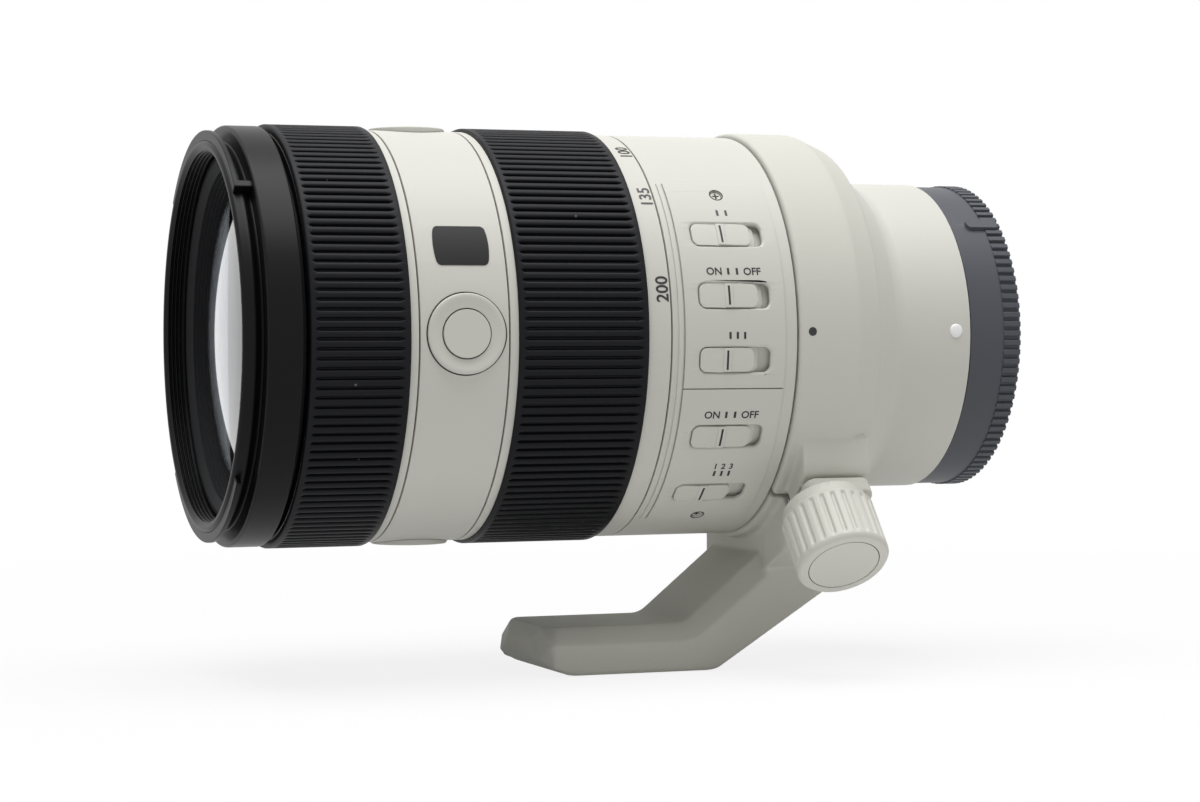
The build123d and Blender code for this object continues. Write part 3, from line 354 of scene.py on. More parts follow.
@dataclass(frozen=True)
class Finish:
    """A surface finish that becomes one material."""

    name: str
    colour: Colour
    roughness: float = 0.45
    metallic: float = 0.0
    coat: float = 0.0
    coat_roughness: float = 0.2
    grain_size: float = 2500.0
    grain_height: float = 0.0
    patch_size: float = 60.0
    patch_colour: float = 0.0
    patch_roughness: float = 0.0
    least_roughness: float = 0.02
    turning_height: float = 0.0
    turning_pitch: float = 0.00012
    dust_share: float = 0.0
    dust_size: float = 900.0
    dust_strength: float = 0.35
    dust_colour: Colour = (0.32, 0.31, 0.29)
    specular: float = 0.5

    def material(self) -> bpy.types.Material:
        """The finish as a material, made once.

        Returns:
            The Blender material.
        """
        known = bpy.data.materials.get(self.name)
        if known is not None:
            return known
        made = bpy.data.materials.new(self.name)
        made.use_nodes = True
        self.fill(made.node_tree)
        made.diffuse_color = (*self.colour, 1.0)
        return made

    def fill(self, tree: bpy.types.NodeTree) -> None:
        """Sets the material's shader and what feeds it.

        Args:
            tree: the material's node tree.
        """
        shader = tree.nodes["Principled BSDF"]
        set_inputs(shader, {
            "Base Color": (*self.colour, 1.0), "Roughness": self.roughness, "Metallic": self.metallic,
            "Coat Weight": self.coat, "Coat Roughness": self.coat_roughness,
            "Specular IOR Level": self.specular})
        grain = self.place(tree, Grain, {"Size": self.grain_size, "Patch Size": self.patch_size})
        join(tree, (self.colour_patches(tree, grain), shader.inputs["Base Color"]),
             (self.rough_patches(tree, grain), shader.inputs["Roughness"]),
             (self.relief(tree, grain), shader.inputs["Normal"]))

    def place(self, tree: bpy.types.NodeTree, kind: type[Effect], values: dict[str, float]
              ) -> bpy.types.Node:
        """Places an effect group in the material, with its own input values."""
        return add_node(tree, "ShaderNodeGroup", values, node_tree=Effects.tree(kind))

    def colour_patches(self, tree: bpy.types.NodeTree, grain: bpy.types.Node) -> bpy.types.NodeSocket:
        """Varies the base colour slowly over the surface, and adds dust where the finish has any.

        Args:
            tree: the material's node tree.
            grain: the placed grain group.

        Returns:
            The socket that holds the colour.
        """
        light = tuple(min(1.0, c * (1 + self.patch_colour)) for c in self.colour)
        dark = tuple(c * (1 - self.patch_colour) for c in self.colour)
        blend = add_node(tree, "ShaderNodeMix", data_type="RGBA")
        set_inputs(blend, {"A": (*dark, 1.0), "B": (*light, 1.0)})
        join(tree, (grain.outputs["Patches"], blend.inputs["Factor"]))
        if self.dust_share <= 0:
            return blend.outputs["Result"]
        dust = self.place(tree, Dust, {"Share": self.dust_share, "Size": self.dust_size})
        faint = add_node(tree, "ShaderNodeMath", {1: self.dust_strength}, operation="MULTIPLY")
        specks = add_node(tree, "ShaderNodeMix", data_type="RGBA")
        set_inputs(specks, {"B": (*self.dust_colour, 1.0)})
        join(tree, (dust.outputs["Mask"], faint.inputs[0]), (blend.outputs["Result"], specks.inputs["A"]),
             (faint.outputs["Value"], specks.inputs["Factor"]))
        return specks.outputs["Result"]

    def rough_patches(self, tree: bpy.types.NodeTree, grain: bpy.types.Node) -> bpy.types.NodeSocket:
        """Varies the roughness slowly over the surface.

        Args:
            tree: the material's node tree.
            grain: the placed grain group.

        Returns:
            The socket that holds the roughness.
        """
        low = max(self.least_roughness, self.roughness - self.patch_roughness)
        high = min(1.0, self.roughness + self.patch_roughness)
        spread = add_node(tree, "ShaderNodeMapRange", {"To Min": low, "To Max": high})
        join(tree, (grain.outputs["Patches"], spread.inputs["Value"]))
        return spread.outputs["Result"]

    def bump(self, tree: bpy.types.NodeTree, source: bpy.types.NodeSocket, height: float) -> bpy.types.Node:
        """A bump.

        Args:
            tree: the material's node tree.
            source: what its relief follows.
            height: how high it is, in millimetres.

        Returns:
            The bump node.
        """
        made = add_node(tree, "ShaderNodeBump", {"Strength": 1.0, "Distance": height * MM})
        join(tree, (source, made.inputs["Height"]))
        return made

    def relief(self, tree: bpy.types.NodeTree, grain: bpy.types.Node) -> bpy.types.NodeSocket:
        """Adds the fine grain and any turning marks as bumps.

        Args:
            tree: the material's node tree.
            grain: the placed grain group.

        Returns:
            The socket that holds the normal.
        """
        bump = self.bump(tree, grain.outputs["Height"], self.grain_height)
        if self.turning_height > 0:
            rings = self.place(tree, Turning, {"Pitch": self.turning_pitch})
            turned_marks = self.bump(tree, rings.outputs["Height"], self.turning_height)
            join(tree, (turned_marks.outputs["Normal"], bump.inputs["Normal"]))
        return bump.outputs["Normal"]


@dataclass(frozen=True)
class GlassFinish(Finish):
    """Coated optical glass."""

    index: float = 1.6
    coat_tint: Colour = (0.97, 0.98, 1.0)

    def fill(self, tree: bpy.types.NodeTree) -> None:
        """A clear shader with a faintly tinted coat.

        Args:
            tree: the material's node tree.
        """
        set_inputs(tree.nodes["Principled BSDF"], {
            "Base Color": (*self.colour, 1.0), "Roughness": self.roughness, "IOR": self.index,
            "Transmission Weight": 1.0, "Coat Weight": self.coat, "Coat Roughness": self.coat_roughness,
            "Coat Tint": (*self.coat_tint, 1.0)})


WHITE_PAINT = Finish("satin_white", (0.60, 0.595, 0.545), roughness=0.5, specular=0.3, grain_size=5200.0,
                     grain_height=0.006, patch_size=40.0, patch_colour=0.012, patch_roughness=0.03)
CAST_PAINT = Finish("cast_paint", (0.60, 0.597, 0.541), roughness=0.6, specular=0.14, grain_size=1900.0,
                    grain_height=0.045, patch_size=45.0, patch_colour=0.015, patch_roughness=0.04)
RUBBER = Finish("ribbed_rubber", (0.0088, 0.0092, 0.0108), roughness=0.46, specular=0.12, grain_size=4200.0,
                grain_height=0.006, patch_size=70.0, patch_colour=0.1, patch_roughness=0.05,
                dust_share=0.004)
BLACK_SATIN = Finish("satin_black", (0.0035, 0.0035, 0.004), roughness=0.36, specular=0.14,
                     grain_size=5200.0, grain_height=0.008, patch_size=50.0, patch_colour=0.1,
                     patch_roughness=0.05)
BLACK_MATT = Finish("matt_black", (0.008, 0.008, 0.0085), roughness=0.62, specular=0.12, grain_size=5200.0,
                    grain_height=0.006, patch_colour=0.1, patch_roughness=0.04)
FLOCK_BLACK = Finish("baffle_black", (0.016, 0.0165, 0.018), roughness=0.6, specular=0.15,
                     grain_size=5200.0, grain_height=0.006, patch_colour=0.08, patch_roughness=0.04)
CREAM = Finish("cream_moulding", (0.61, 0.605, 0.55), roughness=0.42, specular=0.35, grain_size=4200.0,
               grain_height=0.003, patch_colour=0.01, patch_roughness=0.03)
CAP_PLASTIC = Finish("cap_moulding", (0.080, 0.085, 0.098), roughness=0.45, specular=0.2, grain_size=3600.0,
                     grain_height=0.012, patch_colour=0.06, patch_roughness=0.05)
PLATE_BLACK = Finish("plate_black", (0.017, 0.017, 0.018), roughness=0.4, specular=0.2, grain_height=0.003,
                     patch_colour=0.05, patch_roughness=0.03)
INK_BLACK = Finish("ink_black", (0.016, 0.016, 0.017), roughness=0.5, grain_height=0.001,
                   patch_colour=0.05, patch_roughness=0.03)
# Painted shade: a dark finish for lines set in narrow gaps and slots, where only shade falls
GAP_SHADE_PAINT = Finish("painted_gap_shade", (0.022, 0.021, 0.019), roughness=0.7, grain_height=0.001,
                   patch_colour=0.05, patch_roughness=0.03)
SCREW_STEEL = Finish("screw_steel", (0.42, 0.42, 0.40), roughness=0.3, metallic=0.9, grain_height=0.002,
                     patch_colour=0.04, patch_roughness=0.05)
BRIGHT_METAL = Finish("bright_metal", (0.72, 0.72, 0.73), roughness=0.22, metallic=1.0, grain_height=0.001,
                      patch_colour=0.02, patch_roughness=0.05, turning_height=0.0012)
ALLOY = Finish("turned_alloy", (0.52, 0.53, 0.55), roughness=0.34, metallic=1.0, grain_height=0.002,
               patch_colour=0.04, patch_roughness=0.05, turning_height=0.002)
GOLD = Finish("gold_contact", (0.83, 0.63, 0.30), roughness=0.2, metallic=1.0, grain_height=0.001,
              patch_colour=0.03, patch_roughness=0.03)
BOARD = Finish("green_board", (0.03, 0.13, 0.08), roughness=0.4, grain_height=0.004, patch_colour=0.1,
               patch_roughness=0.05)
GREY_PLASTIC = Finish("grey_plastic", (0.16, 0.16, 0.15), roughness=0.5, grain_height=0.006,
                      patch_colour=0.04, patch_roughness=0.04)
BEAD_WHITE = Finish("bead_white", (0.86, 0.86, 0.86), roughness=0.25, coat=0.3, grain_height=0.001,
                    patch_colour=0.01, patch_roughness=0.03)
LENS_GLASS = GlassFinish("lens_glass", (0.95, 0.97, 0.98), roughness=0.0, coat=1.0, coat_roughness=0.01,
                         index=1.85)


# Mesh tools


@dataclass
class Workshop:
    """Makes, places and reports pieces."""

    count: int = 0
    merge_new: float = 1e-7
    merge_cad: float = 1e-6
    flat_turn: float = 0.4

    def piece(self, name: str, solid: Solid, finish: Finish, body: Body, slot: Slot, *nodes: str,
              sharp_angle: float = 60.0, bevel: float = 0.0) -> None:
        """Makes a piece and seats it on its body.

        Args:
            name: the object's name.
            solid: its points in millimetres and its faces.
            finish: what it is finished in.
            body: the CAD body that it rides on.
            slot: the record's slot that its finish stands for; not used.
            nodes: CAD nodes that it replaces.
            sharp_angle: edges that turn more than this stay sharp.
            bevel: how far sharp edges are rounded.
        """
        self.fit(self.mesh(name, solid, finish, sharp_angle, bevel), body, slot, *nodes)

    def mesh(self, name: str, solid: Solid, finish: Finish, sharp_angle: float, bevel: float
             ) -> bpy.types.Object:
        """A new object, with doubled points merged and faces turned outwards.

        Args:
            name: the object's name.
            solid: its points in millimetres and its faces.
            finish: what it is finished in.
            sharp_angle: edges that turn more than this stay sharp.
            bevel: how far sharp edges are rounded.

        Returns:
            The new object, linked to the scene.
        """
        points, faces = solid
        data = bpy.data.meshes.new(name)
        data.from_pydata([(x * MM, y * MM, z * MM) for x, y, z in points], [], faces)
        work = bmesh.new()
        work.from_mesh(data)
        bmesh.ops.remove_doubles(work, verts=work.verts, dist=self.merge_new)
        bmesh.ops.recalc_face_normals(work, faces=work.faces)
        if bevel > 0:
            edges = self.sharp_edges(work, sharp_angle)
            bmesh.ops.bevel(work, geom=edges, offset=bevel * MM, segments=3, profile=0.5, affect="EDGES",
                            clamp_overlap=True, loop_slide=True)
        work.to_mesh(data)
        work.free()
        return self.object(name, data, finish, sharp_angle)

    def sharp_edges(self, work: bmesh.types.BMesh, turn: float) -> list[bmesh.types.BMEdge]:
        """Edges between two faces that turn more than this, in degrees."""
        return [e for e in work.edges if e.is_manifold and e.calc_face_angle() > math.radians(turn)]

    def object(self, name: str, data: bpy.types.Mesh, finish: Finish, sharp_angle: float = 32.0
               ) -> bpy.types.Object:
        """Wraps a mesh in an object with smooth shading.

        Args:
            name: the object's name.
            data: its mesh.
            finish: what it is finished in.
            sharp_angle: edges that turn more than this stay sharp.

        Returns:
            The new object, linked to the scene.
        """
        data.polygons.foreach_set("use_smooth", [True] * len(data.polygons))
        data.set_sharp_from_angle(angle=math.radians(sharp_angle))
        data.materials.clear()
        data.materials.append(finish.material())
        piece = bpy.data.objects.new(name, data)
        bpy.context.scene.collection.objects.link(piece)
        weighted = piece.modifiers.new("even_shading", "WEIGHTED_NORMAL")
        weighted.keep_sharp = True
        return piece

    def fit(self, piece: bpy.types.Object, body: Body, slot: Slot, *nodes: str) -> None:
        """Seats a piece on its body and reports it.

        Args:
            piece: the object.
            body: the CAD body that it rides on.
            slot: the record's slot that its finish stands for; not used.
            nodes: CAD nodes that it replaces.
        """
        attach(piece, body.value)
        if nodes:
            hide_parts(*nodes)
        self.count += 1
        log.info("%s rides on %s%s", piece.name, body.value, f", for {', '.join(nodes)}" if nodes else "")

    def dress(self, finish: Finish, *nodes: str) -> None:
        """Gives CAD nodes a finish.

        Args:
            finish: the finish.
            nodes: names of the nodes.
        """
        for node in nodes:
            data = frame["nodes"][node].data
            data.materials.clear()
            data.materials.append(finish.material())
            log.info("%s dressed in %s", node, finish.name)

    def soften(self, node: str, finish: Finish, body: Body, slot: Slot, radius: float, turn: float = 38.0
               ) -> None:
        """Puts a copy with rounded edges in place of a CAD node.

        Args:
            node: the CAD node.
            finish: what the copy is finished in.
            body: the CAD body that it rides on.
            slot: the record's slot that its finish stands for; not used.
            radius: how far the rounding reaches from each edge.
            turn: edges that turn more than this are rounded.
        """
        work = bmesh.new()
        work.from_mesh(frame["nodes"][node].data)
        bmesh.ops.remove_doubles(work, verts=work.verts, dist=self.merge_cad)
        flat = math.radians(self.flat_turn)
        bmesh.ops.dissolve_limit(work, angle_limit=flat, verts=work.verts, edges=work.edges)
        edges = self.sharp_edges(work, turn)
        bmesh.ops.bevel(work, geom=edges, offset=radius * MM, segments=2, profile=0.5, affect="EDGES",
                        clamp_overlap=False, loop_slide=True)
        data = bpy.data.meshes.new(f"{node}_soft")
        work.to_mesh(data)
        work.free()
        self.fit(self.object(f"{node}_soft", data, finish), body, slot, node)


@dataclass(frozen=True)
class Corner:
    """A corner of a turned outline: its place, its radius from the axis and how far it is rounded."""

    along: float
    radius: float
    rounding: float = 0.0


def rounded_outline(corners: Sequence[Corner], steps: int = 4, most: float = 0.49) -> list[Spot]:
    """Rounds the corners of a closed outline.

    Args:
        corners: the outline's corners, in order.
        steps: segments for each rounded corner.
        most: the share of a side that a rounding may take.

    Returns:
        Points of the rounded outline.
    """
    points: list[Spot] = []
    count = len(corners)
    for index, corner in enumerate(corners):
        here = Vector((corner.along, corner.radius))
        if corner.rounding <= 0:
            points.append((here.x, here.y))
            continue
        back = Vector((corners[index - 1].along, corners[index - 1].radius)) - here
        ahead_corner = corners[(index + 1) % count]
        ahead = Vector((ahead_corner.along, ahead_corner.radius)) - here
        reach = min(corner.rounding, back.length * most, ahead.length * most)
        start, end = here + back.normalized() * reach, here + ahead.normalized() * reach
        for step in range(steps + 1):
            share = step / steps
            mixed = start * (1 - share) ** 2 + here * 2 * share * (1 - share) + end * share ** 2
            points.append((mixed.x, mixed.y))
    return points


def strips(rows: int, across: int, closed: bool = True) -> Faces:
    """Faces between neighbouring rows of points, each of which runs all the way round.

    Args:
        rows: how many rows there are.
        across: how many points each row has.
        closed: whether the last row joins the first.

    Returns:
        The faces.
    """
    faces: Faces = []
    for row in range(rows if closed else rows - 1):
        here, ahead = row * across, (row + 1) % rows * across
        for step in range(across):
            follow = (step + 1) % across
            faces.append((here + step, ahead + step, ahead + follow, here + follow))
    return faces


PLAIN: tuple[Spot, ...] = ((0.0, 0.0),)
RIB_MIDDLE = 0.5


def turned(rows: Sequence[Row], count: int, profile: Sequence[Spot] = PLAIN, pinch: float = 0.0) -> Solid:
    """Turns a closed outline round the lens axis, with grooves along the axis where rows are deep.

    Args:
        rows: for each point of the outline, its place, its radius and the depth of the grooves there.
        count: how many ribs, or how many steps of a plain turned piece.
        profile: for one rib, shares of its pitch and shares of the groove depth there.
        pinch: how much narrower the grooves are where they run out, as a share.

    Returns:
        Points and faces of the turned mesh.
    """
    deepest = max(depth for _, _, depth in rows)
    points: list[Point] = []
    for along, radius, depth in rows:
        narrow = pinch * (1 - depth / deepest) if 0 < depth < deepest else 0.0
        for rib in range(count):
            for place, share in profile:
                spot = place + (RIB_MIDDLE - place) * narrow if share > 0 else place
                points.append(on_barrel(along, 360.0 * (rib + spot) / count, radius - depth * share))
    return points, strips(len(rows), count * len(profile))


def wrapped(outline: Sequence[Spot], place: float, angle: float, radius: float, height: float) -> Solid:
    """A flat outline laid on the barrel as a thin plate.

    Args:
        outline: points along the lens and round it, in millimetres, from the plate's centre.
        place: where the centre is along the lens.
        angle: the angle of its centre.
        radius: the radius that it lies on.
        height: how far its top stands above that radius.

    Returns:
        Points and faces of the plate.
    """
    points = [on_barrel(place + x, angle + math.degrees(s / radius), level)
              for level in (radius, radius + height) for x, s in outline]
    count = len(outline)
    faces: Faces = [tuple(range(count, 2 * count)), tuple(reversed(range(count)))]
    faces += [(i, (i + 1) % count, count + (i + 1) % count, count + i) for i in range(count)]
    return points, faces


def wrapped_ring(place: float, angle: float, radius: float, height: float, inner: float, outer: float,
                 steps: int = 72) -> Solid:
    """A thin round line laid on the barrel.

    Args:
        place: where its centre is along the lens.
        angle: the angle of its centre.
        radius: the radius of the barrel there.
        height: how far it stands above that radius.
        inner: its inner radius.
        outer: its outer radius.
        steps: steps round it.

    Returns:
        Points and faces of the line.
    """
    points: list[Point] = []
    top = radius + height
    for level, size in ((radius, inner), (radius, outer), (top, outer), (top, inner)):
        for step in range(steps):
            turn = 2 * math.pi * step / steps
            across = math.degrees(math.asin(size * math.sin(turn) / radius))
            points.append(on_barrel(place + size * math.cos(turn), angle + across, level))
    return points, strips(4, steps)


@dataclass(frozen=True)
class Stem:
    """An axis that crosses the barrel, which small round pieces are turned about."""

    foot: Point
    out: Point
    side: Point = (1.0, 0.0, 0.0)

    @classmethod
    def at(cls, place: float, angle: float) -> "Stem":
        """A stem through the lens axis.

        Args:
            place: where it is along the lens.
            angle: its angle round the barrel.

        Returns:
            The stem.
        """
        return cls((place, 0.0, 0.0), on_barrel(0.0, angle, 1.0))

    def turned(self, rows: Sequence[Row], count: int = 96, profile: Sequence[Spot] = PLAIN,
               closed: bool = True) -> Solid:
        """Turns an outline about the stem, with flutes where rows are deep.

        Args:
            rows: for each point of the outline, its radius, its height and the depth of the flutes there.
            count: how many flutes, or how many steps of a plain piece.
            profile: for one flute, shares of its pitch and shares of the depth there.
            closed: whether the outline's end joins its start.

        Returns:
            Points and faces of the turned mesh.
        """
        foot, out, side = Vector(self.foot), Vector(self.out), Vector(self.side)
        third = out.cross(side)
        points: list[Point] = []
        for radius, height, depth in rows:
            for flute in range(count):
                for place, share in profile:
                    turn = 2 * math.pi * (flute + place) / count
                    size = max(0.0, radius - depth * share)
                    away = (side * math.cos(turn) + third * math.sin(turn)) * size
                    points.append(tuple(foot + out * height + away))
        return points, strips(len(rows), count * len(profile), closed)


def together(solids: Sequence[Solid]) -> Solid:
    """Puts several meshes in one.

    Args:
        solids: the meshes.

    Returns:
        Points and faces of all of them.
    """
    points: list[Point] = []
    faces: Faces = []
    for more, shapes in solids:
        start = len(points)
        points += more
        faces += [tuple(start + v for v in shape) for shape in shapes]
    return points, faces


def arc_block(front: float, rear: float, outer: float, inner: float, low: float, high: float, steps: int
              ) -> Solid:
    """A piece of tube between two angles.

    Args:
        front: where it begins along the lens.
        rear: where it ends.
        outer: its outer radius.
        inner: its inner radius.
        low: its lower angle.
        high: its upper angle.
        steps: steps round it.

    Returns:
        Points and faces of the block.
    """
    corners = ((front, inner), (rear, inner), (rear, outer), (front, outer))
    angles = [low + (high - low) * step / steps for step in range(steps + 1)]
    points = [on_barrel(x, angle, r) for angle in angles for x, r in corners]
    wide = len(corners)
    ends = [tuple(range(wide)), tuple(steps * wide + corner for corner in reversed(range(wide)))]
    return points, ends + strips(steps + 1, wide, closed=False)


class Reading(Enum):
    """Which way a label reads on the barrel."""

    ALONG = "along"
    ROUND = "round"


@dataclass(frozen=True)
class Label:
    """Plain digits or an ON or OFF mark on the barrel."""

    words: str
    place: float
    angle: float
    cap_height: float
    reading: Reading = Reading.ALONG
    thicken: float = 0.016
    half_depth: float = 0.5
    base_share: float = 0.1

    def solid(self, radius: float, height: float) -> Solid:
        """The label as a thin raised print.

        Args:
            radius: the barrel's radius there.
            height: how thick the print is.

        Returns:
            Points and faces of the print.
        """
        curve = bpy.data.curves.new("label", "FONT")
        curve.body = self.words
        curve.extrude = self.half_depth
        curve.offset = self.thicken
        curve.resolution_u = 4
        holder = bpy.data.objects.new("label", curve)
        shape = bpy.data.meshes.new_from_object(holder)
        flat = [v.co.copy() for v in shape.vertices]
        faces = [tuple(p.vertices) for p in shape.polygons]
        for used, store in ((holder, bpy.data.objects), (curve, bpy.data.curves), (shape, bpy.data.meshes)):
            store.remove(used)
        low_x, high_x = min(v.x for v in flat), max(v.x for v in flat)
        low_y, high_y = min(v.y for v in flat), max(v.y for v in flat)
        scale = self.cap_height / (high_y - low_y)
        points: list[Point] = []
        for v in flat:
            across = (v.x - (low_x + high_x) / 2) * scale
            above = (v.y - (low_y + high_y) / 2) * scale
            along, round_it = (across, above) if self.reading is Reading.ALONG else (-above, across)
            lift = radius + height * (self.base_share + (1 - self.base_share) * (v.z + self.half_depth))
            points.append(on_barrel(self.place + along, self.angle + math.degrees(round_it / radius), lift))
        return points, faces


# Sub-assemblies


@dataclass
class InnerParts:
    """What the barrel holds inside."""

    def build(self, shop: Workshop) -> None:
        """Dresses the inner CAD nodes.

        Args:
            shop: the workshop.
        """
        shop.dress(BLACK_MATT, "fixed_barrel", "front_retainer", "iris_housing", "iris_blades", "rear_cell",
                   "front_cell", "variator_carriage", "focus_carriage", "contact_block", "collar_liner")
        shop.dress(ALLOY, "guide_tube", "cam_tube", "collar_bearing")
        shop.dress(SCREW_STEEL, "drive_keys", "guide_rods", "mount_screws", "clamp_screw", "socket_bush")
        shop.dress(GOLD, "cam_followers", "variator_followers", "contact_pins")
        shop.dress(GREY_PLASTIC, "stabiliser_unit", "focus_motor")
        shop.dress(BOARD, "main_board")
        shop.dress(RUBBER, "mount_gasket")
        shop.dress(BRIGHT_METAL, "bayonet_mount")
        shop.dress(LENS_GLASS, "second_glass", "variator_glass", "focus_glass", "rear_glass")


RIB_SECTION = ((0.0, 0.0), (0.14, 0.02), (0.27, 0.10), (0.33, 0.3), (0.37, 0.9), (0.42, 1.0), (0.5, 1.0),
               (0.58, 1.0), (0.63, 0.9), (0.67, 0.3), (0.73, 0.10), (0.86, 0.02))


@dataclass
class RibbedGrip:
    """A rubber grip whose grooves run out before its lips."""

    name: str
    node: str
    body: Body
    ribs: int
    radius: float = 41.0
    depth: float = 0.85
    front_lip: float = 0.9
    rear_lip: float = 1.2
    run_out: float = 1.0
    edge: float = 0.35
    edge_share: float = 0.3
    front_run: tuple[Spot, ...] = ((0.12, 0.4), (0.4, 0.8), (0.7, 1.0))
    rear_run: tuple[Spot, ...] = ((1.0, 1.0), (0.5, 0.75), (0.15, 0.35))
    bore: float = 39.7
    pinch: float = 0.75

    def build(self, shop: Workshop) -> None:
        """Builds the ribbed sleeve in place of its CAD node.

        Args:
            shop: the workshop.
        """
        front, rear = span(self.node)
        top, edge, ease = self.radius, self.edge, self.edge * self.edge_share
        start, end = front + self.front_lip, rear - self.rear_lip
        rows = [(front, self.bore, 0.0), (front, top - edge, 0.0), (front + ease, top - ease, 0.0),
                (front + edge, top, 0.0), (start, top, 0.0)]
        rows += [(start + self.run_out * place, top, self.depth * share) for place, share in self.front_run]
        rows += [(end - self.run_out * place, top, self.depth * share) for place, share in self.rear_run]
        rows += [(end, top, 0.0), (rear - edge, top, 0.0), (rear - ease, top - ease, 0.0),
                 (rear, top - edge, 0.0), (rear, self.bore, 0.0)]
        sleeve = turned(rows, self.ribs, RIB_SECTION, self.pinch)
        shop.piece(self.name, sleeve, RUBBER, self.body, Slot.RUBBER, self.node, sharp_angle=50.0)


@dataclass
class Grips:
    """The focus and zoom grips."""

    focus: RibbedGrip = field(default_factory=lambda: RibbedGrip(
        "focus_grip_ribs", "focus_grip", Body.FOCUS, 142))
    zoom: RibbedGrip = field(default_factory=lambda: RibbedGrip(
        "zoom_grip_ribs", "zoom_grip", Body.ZOOM, 140))

    def build(self, shop: Workshop) -> None:
        """Builds both grips.

        Args:
            shop: the workshop.
        """
        self.focus.build(shop)
        self.zoom.build(shop)


@dataclass
class FrontRing:
    """The black front ring: filter thread, hood tabs and the band."""

    rim_radius: float = 36.45
    crest_radius: float = 35.6
    root_radius: float = 36.0
    relief_radius: float = 36.2
    thread_front: float = 0.7
    thread_pitch: float = 0.75
    thread_rounding: float = 0.05
    ridges: int = 4
    floor: float = 5.3
    relief_length: float = 1.2
    slide_radius: float = 34.5
    neck_radius: float = 38.2
    band_front: float = 3.9
    band_rear: float = 10.65
    neck_low: float = 37.3
    groove_width: float = 0.7
    neck_setback: float = 1.7
    lip_length: float = 0.4
    lip_rise: float = 0.3
    lip_drop: float = 0.2
    band_radius: float = 40.6
    skirt_radius: float = 38.3
    tab_radius: float = 39.6
    tab_front: float = 0.5
    tab_width: float = 1.0
    tab_half: float = 46.5
    tab_sink: float = 0.6
    tab_middles: tuple[float, ...] = (90.0, 270.0)
    stop_width: float = 1.6
    stop_overlap: float = 0.3

    def build(self, shop: Workshop) -> None:
        """Builds the ring and its tabs in place of the CAD node.

        Args:
            shop: the workshop.
        """
        rim, rear = span("front_ring")
        crest, root = self.crest_radius, self.root_radius
        ridge_spots = ((0.2, crest), (0.55, root), (0.65, root), (1.0, crest))
        corners = [Corner(rim, self.rim_radius, 0.25), Corner(rim + self.thread_front, crest, 0.1)]
        for ridge in range(self.ridges):
            start = rim + self.thread_front + self.thread_pitch * ridge
            corners += [Corner(start + self.thread_pitch * share, radius, self.thread_rounding)
                        for share, radius in ridge_spots]
        floor, band, tail = rim + self.floor, rim + self.band_front, rim + self.band_rear
        corners += [
            Corner(floor - self.relief_length, crest),
            Corner(floor - self.relief_length, self.relief_radius),
            Corner(floor, self.relief_radius),
            Corner(floor, self.slide_radius),
            Corner(rear, self.slide_radius),
            Corner(rear, self.skirt_radius),
            Corner(tail, self.skirt_radius),
            Corner(tail, self.band_radius, 0.55),
            Corner(band, self.band_radius, 0.7),
            Corner(band, self.neck_low, 0.25),
            Corner(band - self.groove_width, self.neck_low, 0.5),
            Corner(band - self.neck_setback, self.neck_radius, 1.2),
            Corner(rim + self.lip_length, self.neck_low + self.lip_rise, 0.6),
            Corner(rim, self.neck_low - self.lip_drop, 0.2),
        ]
        ring = turned([(x, r, 0.0) for x, r in rounded_outline(corners)], 360)
        shop.piece("front_ring_body", ring, BLACK_SATIN, Body.FRONT, Slot.BLACK, "front_ring")
        shop.piece("hood_tabs", together(self.tabs(rim)), BLACK_SATIN, Body.FRONT, Slot.BLACK,
                   sharp_angle=40.0, bevel=0.2)

    def tabs(self, rim: float) -> list[Solid]:
        """The two hood tabs and the stops at their ends.

        Args:
            rim: where the rim is along the lens.

        Returns:
            The solids of the tabs and the stops.
        """
        front, inner = rim + self.tab_front, self.neck_radius - self.tab_sink
        stop = math.degrees(self.stop_width / self.neck_radius)
        blocks = []
        for middle in self.tab_middles:
            low, high = middle - self.tab_half, middle + self.tab_half
            blocks.append(arc_block(front, front + self.tab_width, self.tab_radius, inner, low, high, 72))
            blocks.append(arc_block(front + self.tab_width / 2, rim + self.band_front + self.stop_overlap,
                                    self.tab_radius, inner, low, low + stop, 4))
        return blocks


@dataclass
class FrontGlass:
    """The domed front glass."""

    setback: float = 3.7
    dome: float = 108.0
    dome_edge: float = 29.6
    edge_gap: float = 0.1
    steps: int = 28

    def build(self, shop: Workshop) -> None:
        """Builds the glass in place of its CAD node.

        Args:
            shop: the workshop.
        """
        vertex = span("front_ring")[0] + self.setback
        rear = span("front_glass")[1]
        low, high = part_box("front_glass")
        edge = (high.y - low.y) / 2 / MM
        rows = []
        for step in range(self.steps + 1):
            radius = self.dome_edge * step / self.steps
            rows.append((vertex + self.dome - math.sqrt(self.dome ** 2 - radius ** 2), radius, 0.0))
        shoulder = span("baffle_ring")[1] + self.edge_gap
        rows += [(shoulder, self.dome_edge, 0.0), (shoulder, edge, 0.0), (rear, edge, 0.0),
                 (rear, 0.0, 0.0)]
        shop.piece("front_glass_dome", turned(rows, 128), LENS_GLASS, Body.FRONT, Slot.GLASS, "front_glass",
                   sharp_angle=40.0)


@dataclass
class WhiteBarrel:
    """The painted rings and shells."""

    edge: float = 0.16

    def build(self, shop: Workshop) -> None:
        """Softens the edges of the painted CAD nodes and dresses the rest.

        Args:
            shop: the workshop.
        """
        bodies = {"focus_ring": Body.FOCUS, "zoom_ring": Body.ZOOM, "front_shell": Body.BARREL,
                  "rear_shell": Body.BARREL, "mount_barrel": Body.BARREL}
        for node, body in bodies.items():
            shop.soften(node, WHITE_PAINT, body, Slot.PAINT, self.edge)
        shop.dress(WHITE_PAINT, "inner_tube")
        shop.dress(FLOCK_BLACK, "baffle_ring")


